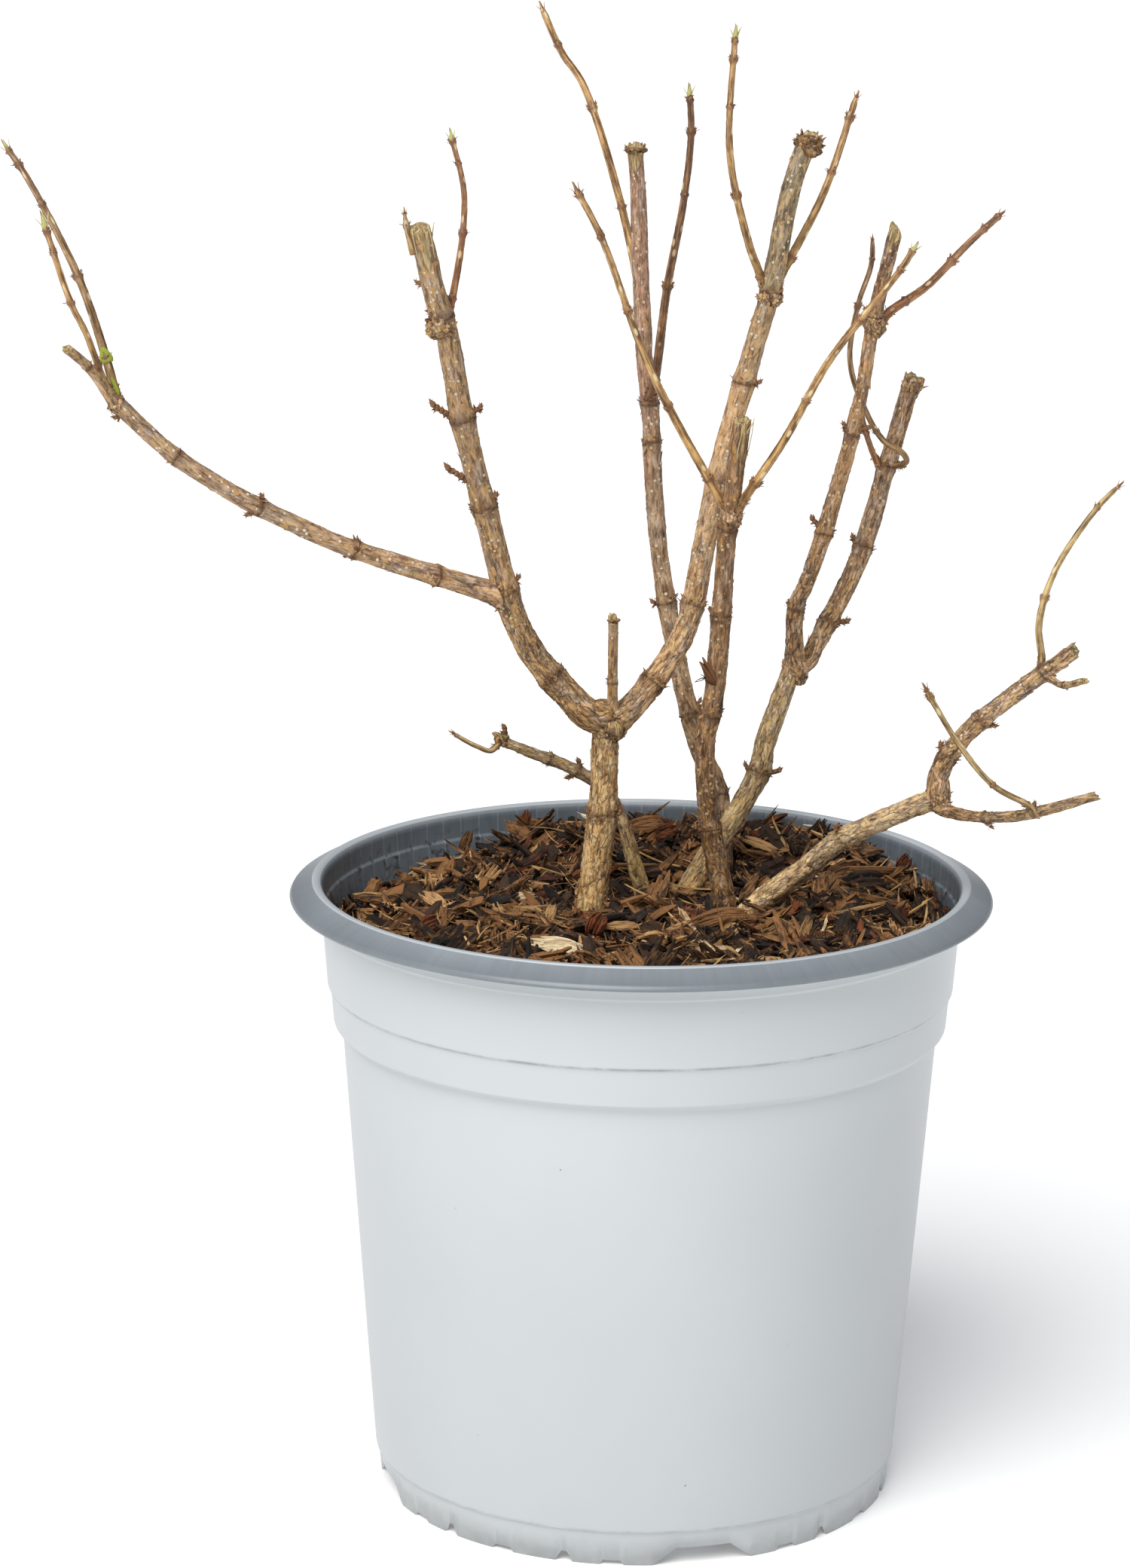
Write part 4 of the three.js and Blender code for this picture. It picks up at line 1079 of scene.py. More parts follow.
# Shapes of chips: how they are made, seed, numbers of stations and sides, and each one's facts
CHIP_SHAPES = {
    "slab": (chip_shape, 100, (7, 7), (
        (0.3, 0.16, 0.12, 0.75), (0.38, 0.22, -0.12, 0.85), (0.26, 0.18, 0.2, 0.95),
        (0.48, 0.28, 0.05, 0.7), (0.2, 0.13, -0.24, 0.9), (0.34, 0.15, 0.24, 0.85),
        (0.6, 0.36, 0.0, 0.6), (0.28, 0.22, 0.08, 0.95))),
    "bundle": (bundle_shape, 120, (), (
        (5, 0.3, 0.1, 0.1, 0.3), (4, 0.2, 0.1, -0.2, 0.25), (5, 0.4, 0.12, 0.2, 0.35),
        (3, 0.14, 0.08, 0.0, 0.2), (5, 0.34, 0.14, -0.1, 0.4), (4, 0.26, 0.08, 0.3, 0.3))),
    "splinter": (chip_shape, 140, (6, 5), (
        (0.12, 0.072, 0.1, 1.0), (0.09, 0.054, -0.2, 1.0), (0.16, 0.096, 0.05, 1.0),
        (0.07, 0.042, 0.3, 1.0))),
    "fibre": (chip_shape, 160, (8, 4), (
        (0.035, 0.035, 0.4, 0.8), (0.025, 0.025, -0.45, 0.8), (0.03, 0.03, 0.2, 0.8))),
    "crumb": (chip_shape, 180, (4, 5), (
        (0.7, 0.4, 0.0, 0.6), (0.5, 0.45, 0.0, 0.6), (0.3, 0.25, 0.0, 0.6))),
}
# Colours of chips: if they take the pale tint, and their dark, middle and light tones
CHIP_COLOURS = {
    "dark": (False, "#040201", "#1a1008", "#412c19"),
    "red": (False, "#0c0402", "#3e1a0a", "#854a25"),
    "brown": (False, "#090402", "#301d0c", "#93663b"),
    "tan": (True, "#1d1007", "#754d29", "#d6ab75"),
    "cream": (True, "#6b4a28", "#c9a87c", "#f2dfb8"),
    "straw": (True, "#3b2512", "#8c6638", "#c79f68"),
    "crumb": (False, "#060302", "#1d1109", "#4e3421"),
}
# Scattered chips: shape, chips per square metre, seed, shortest and longest, tilt, lowest and
# highest, colour
CHIP_GROUPS = {
    "dark_chips": ("slab", 15000, 1, 7, 21, 0.75, -4.0, 0.4, "dark"),
    "red_chips": ("slab", 9000, 2, 6, 17, 0.8, -3.2, 1.2, "red"),
    "brown_chips": ("slab", 11000, 3, 7, 22, 0.75, -3.2, 1.4, "brown"),
    "brown_bundles": ("bundle", 17000, 9, 9, 27, 0.7, -2.8, 1.8, "brown"),
    "dark_bundles": ("bundle", 12000, 10, 8, 24, 0.8, -3.2, 1.6, "dark"),
    "tan_bundles": ("bundle", 5200, 4, 7, 20, 0.75, -1.8, 2.0, "tan"),
    "cream_splinters": ("splinter", 2800, 5, 6, 18, 0.6, -1.0, 2.2, "cream"),
    "tan_splinters": ("splinter", 5500, 11, 7, 22, 0.7, -1.6, 2.2, "tan"),
    "brown_splinters": ("splinter", 15000, 6, 7, 22, 0.8, -2.6, 2.0, "brown"),
    "straw_fibres": ("fibre", 7000, 7, 12, 34, 0.5, -1.0, 2.8, "straw"),
    "fine_crumbs": ("crumb", 90000, 8, 1.5, 4.0, 1.2, -4.2, 0.6, "crumb"),
}
# Chips that stand out, by colour: both ends in millimetres, how wide and how thick
MARKED_CHIPS = {
    "dark": (
        (58, 76, 196.0, 63, 76, 206.0, 5.5, 2.0), (62, 74, 196.0, 68, 74, 203.5, 5.0, 1.8),
        (55, 77, 196.0, 60, 75, 204.0, 3.5, 1.6), (66, 24, 196.4, 82, 22, 199.2, 9.0, 3.6)),
    "red": (
        (-41, 86, 197.0, -39, 86, 205.8, 3.2, 1.2), (86, 42, 196.0, 90, 43, 202.0, 4.6, 3.0),
        (-73, -31, 192.4, -63, -26, 197.6, 6.0, 3.4), (-16, -30, 193.4, -12, -25, 198.8, 6.5, 5.0),
        (4, 72, 199.4, 12, 70, 203.4, 5.0, 3.0)),
    "brown": (
        (16, -20, 193.8, 33, -10, 196.4, 6.0, 2.2), (18, -12, 195.0, 36, -14, 197.0, 5.0, 1.8),
        (-36, 50, 195.4, 4, 46, 195.6, 2.6, 1.4), (-62, 72, 193.0, -58, 73, 201.5, 3.2, 1.6),
        (48, 52, 197.0, 62, 47, 199.6, 4.5, 2.0), (60, 30, 196.0, 76, 36, 199.0, 8.0, 3.6),
        (-6, 80, 200.0, 8, 78, 203.6, 7.0, 2.2)),
    "tan": (
        (-72, 6, 197.0, -64, -2, 193.6, 5.0, 1.8), (-49, -8, 194.2, -27, -2, 195.2, 1.8, 0.9),
        (-47, -3, 195.2, -30, -6, 194.3, 1.5, 0.8), (39, -28, 193.6, 50, -25, 196.0, 3.4, 1.6),
        (51, -39, 192.6, 54, -38, 203.0, 3.2, 1.5), (61, -10, 195.2, 82, -4, 198.6, 1.2, 0.8),
        (34, 68, 201.0, 46, 60, 198.2, 3.0, 1.4), (-32, 47, 195.0, 8, 50, 195.8, 1.3, 0.9),
        (-13, -24, 193.9, 1, -25, 195.2, 3.4, 1.4), (-16, -12, 194.2, -6, -10, 194.8, 3.8, 1.4),
        (-30, -20, 194.0, -28, -17, 200.0, 3.2, 1.0), (-20, 84, 200.6, -9, 82, 204.2, 5.0, 1.6)),
    "cream": (
        (-35, -43, 194.8, -17, -52, 193.6, 6.5, 1.6), (-33, -47, 194.0, -18, -49, 194.6, 4.0, 1.4),
        (-43, 22, 194.6, -36, 19, 193.8, 3.0, 1.2), (-43, 8, 194.2, -34, 12, 194.8, 3.4, 1.2),
        (18, -45, 196.5, 28, -54, 192.6, 2.2, 1.2), (20, -54, 194.0, 29, -51, 195.6, 2.0, 1.0),
        (19, -49, 195.6, 26, -56, 193.0, 1.8, 1.0), (17, -50, 194.6, 25, -52, 194.0, 1.6, 1.0)),
    "straw": (
        (-96, 28, 190.4, -80, 20, 191.8, 1.0, 0.8), (52, 44, 196.0, 57, 48, 206.0, 0.9, 0.8)),
}


def build_mulch(settings):
    """The heap's chips by colour, in place of its node."""
    heap = build_mulch_bed()
    shapes = {key: shape_group(key + " shapes", [make(f"{key}_{k}", seed + k, *facts, *fineness)
                                                 for k, facts in enumerate(rows)])
              for key, (make, seed, fineness, rows) in CHIP_SHAPES.items()}
    tree = mulch_tree()
    finishes = {key: chip_material(key + " shredded bark",
                                   settings.pale_tint if pale else settings.brown_tint, *tones)
                for key, (pale, *tones) in CHIP_COLOURS.items()}
    long = MM * settings.chip_size
    for name, (kind, count, seed, least, most, tilt, low, high, colour) in CHIP_GROUPS.items():
        ride(run_tree(name, heap, tree, {
            "Shapes": shapes[kind], "Chips per area": float(count * settings.fullness),
            "Seed": seed + settings.seed, "Shortest": least * long, "Longest": most * long,
            "Tilt": tilt, "Lowest": low * MM, "Highest": high * MM, "Wall radius": MULCH_WALL * MM,
            "Bark": finishes[colour]}), "mulch", "bark_mulch")
    bpy.data.objects.remove(heap)
    rng = np.random.default_rng(77)
    for colour, chips in MARKED_CHIPS.items():
        vertices, faces, grain, tones = [], [], [], []
        for *ends, wide, thick in chips:
            marked_chip(rng, *np.reshape(ends, (2, 3)), wide, thick, vertices, faces, grain)
            tones += [rng.uniform(0.4, 1.0)] * (len(vertices) - len(tones))
        made = new_piece("marked_" + colour + "_chips", vertices, faces, [finishes[colour]],
                         smooth=False, attributes={"grain": grain, "tone": tones})
        ride(made, "mulch", "bark_mulch")


def marked_chip(rng, start, stop, wide, thick, vertices, faces, grain, strands=6, stations=9):
    """Adds a chip between two places, of strands with torn ends."""
    ahead = stop - start
    side = np.cross(np.array([0.15, -0.6, 1.0]), ahead)
    side = side / np.linalg.norm(side)
    rise = np.cross(ahead / np.linalg.norm(ahead), side)
    for strand in range(strands):
        across = (strand / (strands - 1) - 0.5) * 0.85
        low, high = rng.uniform(0, 0.2), 1 - rng.uniform(0, 0.2)
        half, lift = wide / strands * rng.uniform(0.55, 0.85), rng.uniform(-0.3, 0.3) * thick
        faces += tube(stations, 5, first=len(vertices))
        for k in range(stations):
            u = low + (high - low) * k / (stations - 1)
            near_end = min(k, stations - 1 - k) / (stations - 1)
            taper = min(1.0, 0.25 + 2.2 * near_end * rng.uniform(0.8, 1.2))
            drift = across * wide * (1 - 0.35 * abs(2 * u - 1) ** 2) + rng.uniform(-0.12, 0.12)
            high_by = lift + rng.uniform(-0.1, 0.1) * thick
            middle = start + ahead * u + side * drift + rise * high_by
            for a, b in ((-1, -0.2), (-0.3, 0.9), (0.5, 1), (1, 0.1), (0.2, -1)):
                vertices.append(middle + side * a * half * taper + rise * b * thick / 2 * taper)
                grain.append((u, across + a * half / wide, b * 0.1))


# Wood

# Barks of old wood: middle colours of foot and top, pores' colour and how many, inner bark's
# colour and how much of it, and for some where the top's colour takes over and how much grey film
# they have
BARKS = {
    "golden": ("#dcab6a", "#e0b278", "#e9d6ae", 0.1, "#ecc88e", 0.9, (0.4, 0.8), 0.45),
    "weathered gold": ("#c49e67", "#bfa682", "#e3d2ae", 0.15, "#e0b978", 0.8),
    "dark flaking": ("#8f6a45", "#866548", "#cdb188", 0.9, "#bd8c4c", 0.4, (0.4, 0.8), 0.35),
    "grey olive": ("#b38c60", "#9b7e61", "#dcc7a0", 1.0, "#d2a76b", 0.7),
    "pale tan": ("#d2aa74", "#e6c59c", "#efdfbf", 0.2, "#efcd96", 1.1),
    "dull tan": ("#b08c66", "#a98b6a", "#dcc9a6", 0.4, "#cfa76e", 0.7),
    "rosy tan": ("#c09873", "#ae8e73", "#ecdcc0", 0.95, "#dcb47c", 0.9),
    "grey rosy": ("#ba9370", "#9f8269", "#ecdcc0", 1.0, "#d8b07a", 0.8),
    "olive topped": ("#c59d76", "#83745a", "#ddd0ae", 1.0, "#dcb47c", 0.7, (0.8, 1.05)),
    "dark topped": ("#a17e5c", "#77573f", "#d9c5a4", 0.9, "#c99b64", 0.5, (1.06, 1.16)),
    "pink brown": ("#a28465", "#a57f69", "#ddc6a8", 1.1, "#c49b6e", 0.4, (0.82, 0.95)),
    "purple brown": ("#ad8863", "#a1836a", "#d9c5a4", 0.9, "#d0a56d", 0.5),
}

# Rough knuckles of old wood where limbs part: bark, the limb that leaves, how far its middle is
# moved from that limb's foot in millimetres, and its half sizes across, deep and high
KNUCKLES = {
    "fork_left": ("weathered gold", "centre_stub", (-1.2, 0, -5.0), (6.0, 5.3, 5.8)),
    "fork_right": ("purple brown", "right_tall_bough", (0, 0, -0.5), (4.4, 4.2, 5.4)),
    "fork_low_right": ("dull tan", "low_right_upper_bough", (0, 0, 0), (4.2, 4.2, 4.4)),
    "fork_arching": ("rosy tan", "left_arching_bough", (0, 0, 0), (4.3, 4.2, 4.8)),
    "fork_far_left": ("rosy tan", "far_left_stub", (0, 0, 0), (2.3, 2.3, 2.6)),
    "fork_centre": ("rosy tan", "centre_left_shoot", (0, 0, -0.5), (4.0, 3.8, 3.4)),
    "fork_left_top": ("grey olive", "left_top_shoot", (-0.8, -0.8, 0.8), (4.6, 4.4, 4.6)),
    "fork_tall_left": ("rosy tan", "centre_top_left_shoot", (1.4, -0.4, 0), (4.3, 4.1, 3.2)),
    "fork_right_top": ("dull tan", "right_top_shoot", (-0.8, 0, 0.5), (3.5, 3.3, 3.8)),
}

# Rough crowns where a limb was broken or cut: bark, limb, half sizes as above, how far down from
# its end, how far its middle is moved to the right, and how pale its top is
CROWNS = {
    "crown_tall_centre": ("dark flaking", "tall_centre_bough", (4.6, 4.2, 4.2), 2.4, 0.9, 0.1),
    "crown_right_outer": ("purple brown", "right_outer_bough", (3.8, 3.6, 4.4), 2.8, 0.8, 0.0),
    "crown_back": ("dark flaking", "back_stem", (3.7, 3.4, 1.5), 0.7, 0.0, 0.7),
    "crown_low_left": ("dark flaking", "low_left_stem", (2.2, 2.2, 2.4), 1.6, 0.0, 0.5),
    "crown_centre_stub": ("dark flaking", "centre_stub", (1.9, 1.9, 0.8), 0.6, 0.0, 0.4),
}


def crown_middle(limb, down, aside):
    """The middle of a crown, down from its limb's end and moved aside, in millimetres."""
    return limb.centre[-1] - limb.ahead[-1] * down + np.array([aside, 0, 0])


def build_knuckle(name, bark, middle, half, cut=None, pale=0.0):
    """A lump of old wood with torn, criss-crossed relief; cut flattens it at that height."""
    seed = (sorted(KNUCKLES) + sorted(CROWNS)).index(name) * 7 + 200
    rings, sides = 30, 44
    lean = (np.arange(rings)[:, None] + 0.5) / rings * math.pi
    turn = np.arange(sides) / sides * TAU
    place = np.stack([np.sin(lean) * np.cos(turn), np.sin(lean) * np.sin(turn),
                      np.cos(lean) + 0 * turn], -1) * np.array(half)
    warped = place + 0.9 * np.stack([noise(place, seed + k, 2.0) for k in range(3)], -1)
    edge, flake, along = cracked(warped / np.array([2.2, 2.2, 1.7]), seed)
    crack = 1 - eased(0.02, 0.16, edge)
    height = ((1.1 if cut else 0.5) * noise(place, seed + 4, 3.2)
              + 0.3 * noise(place, seed + 5, 1.2)
              + 0.5 * (flake - 0.5) + 0.4 * along * (flake > 0.5) - 0.35 * crack)
    grid = middle + place * (1 + height / np.mean(half))[..., None]
    raw = 0 * crack
    if cut:
        over = grid[..., 2] - cut
        grid[..., 2] = np.where(over > 0, cut + 0.25 * over, grid[..., 2])
        raw = pale * eased(cut - 0.6, cut, grid[..., 2])
    total = rings * sides
    vertices = np.vstack([grid.reshape(-1, 3), grid[0].mean(0), grid[-1].mean(0)])
    attributes = {}
    for key, values in {
            "crack": crack * 0.9, "flake": flake, "climb": 0 * crack + 0.3, "rough": 0 * crack + 1,
            "knot": 0.1 + 0.7 * (noise(place, seed + 6, 2.2) > 0.25), "algae": 0 * crack,
            "raw": raw, "place": (place + seed) * MM}.items():
        flat = values.reshape(total, *values.shape[2:])
        attributes[key] = np.concatenate([flat, flat[[0]], flat[[-1]]])
    faces = inside_out(tube(rings, sides, ends=(total, total + 1)))
    ride(new_piece(name + "_knuckle", vertices, faces, [bark], attributes=attributes), "bark",
         "back_stem")


def build_old_wood(settings):
    """Stems and boughs, each a mesh with its bark's relief in place of its node, and knuckles."""
    barks = {key: bark_material(settings, key + " hydrangea bark", *facts)
             for key, facts in BARKS.items()}
    for name in (*STEMS, *BOUGHS):
        limb = LIMBS[name]
        rng = np.random.default_rng(limb.number)
        slant, facing, torn = rng.uniform(0.5, 2.0), rng.uniform(0, TAU), 1.0
        if name in SLANTED_CUTS:
            slant, direction, torn = SLANTED_CUTS[name]
            facing = limb.facing(limb.length, direction)
        vertices, faces, attributes = grown(
            limb, 44 if limb.width[0] > 4 else 26, old_bark, settings.relief,
            cap_shape=lambda share, t: ((0.9 - 1.5 * torn) * (1 - share ** 2)
                                        + 0.25 * torn * np.sin(7 * t + 9 * share)),
            tip_jag=lambda t: (slant * np.cos(t - facing)
                               + torn * (0.35 * np.sin(5 * t + facing) + 0.25 * np.sin(9 * t))))
        if limb.kind == "stem":
            vertices[:, 2] = np.maximum(vertices[:, 2], POT_HEIGHT + MIX_TOP + CUT_GAP)
        ride(new_piece(name + "_bark", vertices, faces, [barks[limb.bark]], attributes=attributes),
             "bark", name)
    for name, (bark, leaver, shift, half) in KNUCKLES.items():
        build_knuckle(name, barks[bark], LIMBS[leaver].centre[0] + np.array(shift), half)
    for name, (bark, carrier, half, down, aside, pale) in CROWNS.items():
        middle = crown_middle(LIMBS[carrier], down, aside)
        build_knuckle(name, barks[bark], middle, half, middle[2] + down * 0.9, pale)


# Barks of one-year shoots: middle colours of foot and top, and colours of pores and knots
SHOOT_BARKS = {
    "ochre": ("#a98450", "#a38056", "#e8d5aa", "#7d4f33"),
    "umber": ("#6f4c2a", "#7c5a3c", "#cdb084", "#5d3c26"),
    "reddish": ("#97683f", "#8e6a4c", "#d8be95", "#7b4f3b"),
    "brown": ("#8c6e46", "#8d7052", "#dcc8a0", "#77523c"),
    "straw": ("#b39b6c", "#9c8459", "#dfcc9c", "#8a6038"),
    "grey dead": ("#cdb27c", "#cfb58d", "#e6d9ba", "#8b6f50"),
}


def build_shoots(settings):
    """The one-year shoots, each a mesh in place of its node."""
    barks = {key: shoot_material(settings, key + " one-year bark", *facts)
             for key, facts in SHOOT_BARKS.items()}
    for name in SHOOTS:
        limb = LIMBS[name]
        vertices, faces, attributes = grown(limb, 18, young_bark, settings.relief, cap_rings=3)
        ride(new_piece(name + "_bark", vertices, faces, [barks[limb.bark]], attributes=attributes),
             "shoot_bark", name)


# Scales, buds and torn wood that sit on the limbs

def slab(name, outline, curl, cup, thick, twist=0.0):
    """A thin pointed scale a unit long: base at the origin, tip up Z, outer face along Y.
    outline gives its half width at each height."""
    rows, wide = len(outline), 5
    front, back = [], []
    for k, half in enumerate(outline):
        z = k / (rows - 1)
        for c in np.linspace(-1, 1, wide):
            x = half * c
            y = curl * z * z - cup * x * x / 0.25
            cosine, sine = math.cos(twist * z), math.sin(twist * z)
            x, y = x * cosine - y * sine, x * sine + y * cosine
            front.append((x, y + thick / 2 * (1 - 0.7 * abs(c)), z))
            back.append((x, y - thick / 2, z))
    total = rows * wide
    faces = []
    for k in range(rows - 1):
        for c in range(wide - 1):
            a = k * wide + c
            faces.append([a, a + wide, a + wide + 1, a + 1])
            faces.append([total + a + 1, total + a + wide + 1, total + a + wide, total + a])
    loop = [*range(wide), *range(2 * wide - 1, total, wide),
            *range(total - 2, total - wide - 1, -1), *range(total - 2 * wide, 0, -wide)]
    faces += [[a, b, total + b, total + a] for a, b in zip(loop, loop[1:] + loop[:1])]
    return shape_of(name, np.array(front + back), faces)


def plump(name, seed, widest, at, sides=8, stations=7):
    """A closed pointed bud a unit long: base at the origin, tip up Z, widest at this height."""
    rng = np.random.default_rng(seed)
    points = []
    for k in range(stations):
        z = k / (stations - 1)
        share = 0.65 + 0.35 * z / at if z < at else ((1 - z) / (1 - at)) ** 0.8
        half = max(widest / 2 * share, 0.02)
        for turn in np.arange(sides) / sides * TAU:
            r = half * (1 + 0.12 * math.cos(2 * turn + 0.6) + rng.uniform(-0.06, 0.06))
            points.append((r * math.cos(turn), r * math.sin(turn) + 0.1 * z * z, z))
    return shape_of(name, np.array(points), tube(stations, sides))


def scatter_tree():
    """Puts a picked shape on each point, turned and sized by what the point carries."""
    tree, node, given = new_tree("scales and buds", (
        ("Shapes", "Collection"), ("Size", "Float"), ("Bark", "Material")))
    turn, size, pick = (
        node("GeometryNodeInputNamedAttribute", Name=name, data_type=kind)
        for name, kind in (("turn", "FLOAT_VECTOR"), ("size", "FLOAT_VECTOR"), ("pick", "FLOAT")))
    size = node("VectorMath", {0: size, "Scale": given["Size"]}, operation="SCALE")
    points = node("GeometryNodeMeshToPoints", Mesh=given["Geometry"])
    shapes = node("GeometryNodeCollectionInfo", Collection=given["Shapes"], Separate_Children=True,
                  Reset_Children=True)
    placed = node("GeometryNodeInstanceOnPoints", Points=points, Instance=shapes,
                  Pick_Instance=True, Instance_Index=pick, Rotation=turn, Scale=size)
    finish_tree(node, node("GeometryNodeRealizeInstances", Geometry=placed), given["Bark"])
    return tree


# Greatest widths of the two shapes of buds, which are a unit long
SLIM, ROUND = 0.42, 0.75
# Shapes of scales: half widths from base to tip, curl, cup, thickness and twist. Shapes of buds:
# seed, greatest width and its height
BUD_SHAPES = {
    "scale": (slab, (("scale_a_shield", (0.3, 0.42, 0.4, 0.26, 0.05), 0.34, 0.35, 0.12),
                     ("scale_b_narrow", (0.2, 0.26, 0.22, 0.13, 0.02), 0.5, 0.3, 0.1, 0.5),
                     ("scale_c_broad", (0.45, 0.5, 0.42, 0.3, 0.12), 0.18, 0.25, 0.08, -0.2))),
    "bit": (slab, (("bit_curved", (0.06, 0.07, 0.05, 0.01), 0.4, 0.1, 0.08, 0.8),
                   ("bit_thin", (0.05, 0.04, 0.03, 0.01), -0.3, 0.1, 0.06, -0.6))),
    "plump": (plump, (("plump_a_slim", 5, SLIM, 0.3), ("plump_b_round", 6, ROUND, 0.4))),
}
# Pieces made of them: kind of shape, finish, its colour or the setting that holds it, and node
BUD_PIECES = {
    "node_scales": ("scale", "cream pink bud scales", "scales", "left_top_shoot"),
    "papery_scales": ("scale", "papery brown bark scales", "papery", "back_stem"),
    "dark_bits": ("bit", "dry dark scale tips", "#3a2719", "back_stem"),
    "brown_buds": ("plump", "ripe brown buds", "brown", "left_top_shoot"),
    "green_buds": ("plump", "yellow green buds", "green", "left_top_shoot"),
    "green_bud_scales": ("scale", "pale green bud scales", "#cdc79a", "left_top_shoot"),
    "curled_dry_scale": ("scale", "dry dark brown shell", "#70492b", "centre_front_stem"),
    "golden_flakes": ("scale", "golden lifted bark flakes", "#b08a5c", "back_stem"),
    "raw_slivers": ("bit", "torn pale wood", "#cbb583", "back_stem"),
    "green_scrapes": ("scale", "scraped green wood", "#9aa638", "far_left_long_shoot"),
}
# Side spurs on old wood: limb, place along it, way it points, length in millimetres
SPURS = (
    ("left_upright_bough", 0.655, (-1, -0.3, 0), 7.5),
    ("left_upright_bough", 0.655, (1, -0.2, 0), 3.5),
    ("left_upright_bough", 0.535, (-1, -0.2, 0), 8.0),
    ("left_upright_bough", 0.495, (1, -0.3, 0), 2.5), ("left_upright_bough", 0.9, (-1, 0, 0), 2.0),
    ("left_upright_bough", 0.33, (1, 0, 0), 2.0), ("right_tall_bough", 0.33, (-1, 0, 0), 3.0),
    ("right_tall_bough", 0.56, (-1, -0.3, 0), 2.2), ("right_tall_bough", 0.56, (1, -0.3, 0), 3.0),
    ("right_outer_bough", 0.46, (-1, 0.2, 0), 2.6), ("right_outer_bough", 0.2, (1, -0.3, 0), 3.2),
    ("right_outer_bough", 0.72, (-1, -0.3, 0), 3.4), ("right_outer_bough", 0.72, (1, 0, 0), 2.4),
    ("right_rear_stem", 0.6, (-1, -0.1, 0), 2.4), ("right_rear_stem", 0.61, (1, -0.1, 0), 3.0),
    ("back_stem", 0.41, (-1, 0, 0), 2.2), ("back_stem", 0.27, (1, 0, 0), 2.2),
    ("centre_front_stem", 0.23, (-1, -0.4, 0), 2.5), ("low_left_stem", 0.66, (-0.2, 0, 1), 2.8),
    ("low_left_stem", 0.67, (0, 0, -1), 2.4), ("low_left_stem", 0.97, (0.4, 0, 1), 3.0),
    ("low_left_stem", 0.98, (-0.2, 0, -1), 2.2), ("left_arching_bough", 0.6, (0, -0.4, 1), 2.2),
    ("left_arching_bough", 0.61, (0, -0.4, -1), 2.0),
    ("left_arching_bough", 0.36, (0, -1, 0.3), 1.8), ("left_arching_bough", 0.97, (0, 0, -1), 1.8),
    ("low_right_upper_bough", 0.23, (-1, 0, 0.2), 2.2),
    ("low_right_upper_bough", 0.46, (0.6, 0, -1), 2.4), ("low_right_stem", 0.62, (0, -0.3, 1), 2.2),
    ("low_right_side_bough", 0.62, (0, -0.3, 1), 2.2),
    ("low_right_side_bough", 0.32, (0, 0, -1), 2.0),
    ("tall_centre_bough", 0.44, (-1, -0.6, 0), 2.0), ("tall_centre_bough", 0.6, (1, -0.2, 0), 2.2),
    ("tall_centre_bough", 0.76, (-1, -0.4, 0), 2.4), ("front_left_stem", 0.55, (1, -0.5, 0), 2.2),
    ("right_tall_bough", 0.81, (-1, -0.2, 0), 2.2),
)


class Spots:
    """Where the shapes of each piece go, and the random numbers that lay them."""

    def __init__(self, seed):
        self.rng = np.random.default_rng(seed)
        self.rows = {name: [] for name in BUD_PIECES}

    def put(self, piece, place, outward, up_way, size, pick=0):
        """One shape: its outer face looks outward, its tip points up_way; size in millimetres."""
        tall = up_way / np.linalg.norm(up_way)
        face = outward - tall * outward.dot(tall)
        face = face / np.linalg.norm(face)
        turn = Matrix((np.cross(face, tall), face, tall)).transposed().to_euler("XYZ")
        self.rows[piece].append((place, tuple(turn), np.broadcast_to(np.array(size) * MM, 3), pick))

    def on(self, piece, limb, s, angle, out, lean, size, pick=0):
        """One shape on a limb's side, out of it by this much, that leans out from its course."""
        place, outward, ahead, _ = limb.at(s, angle, out)
        self.put(piece, place, outward, ahead + outward * lean, size, pick)

    def splay(self, limb, s, near, angle, out, spread, sizes):
        """A dark bit beside the distance s along a limb, which leans out and a little sideways."""
        place, outward, _, _ = limb.at(near, angle, out)
        _, leaning, ahead, around = limb.at(s, angle)
        way = ahead + leaning * spread + around * self.rng.uniform(-0.25, 0.25)
        self.put("dark_bits", place, outward, way, self.rng.uniform(*sizes), self.rng.integers(2))


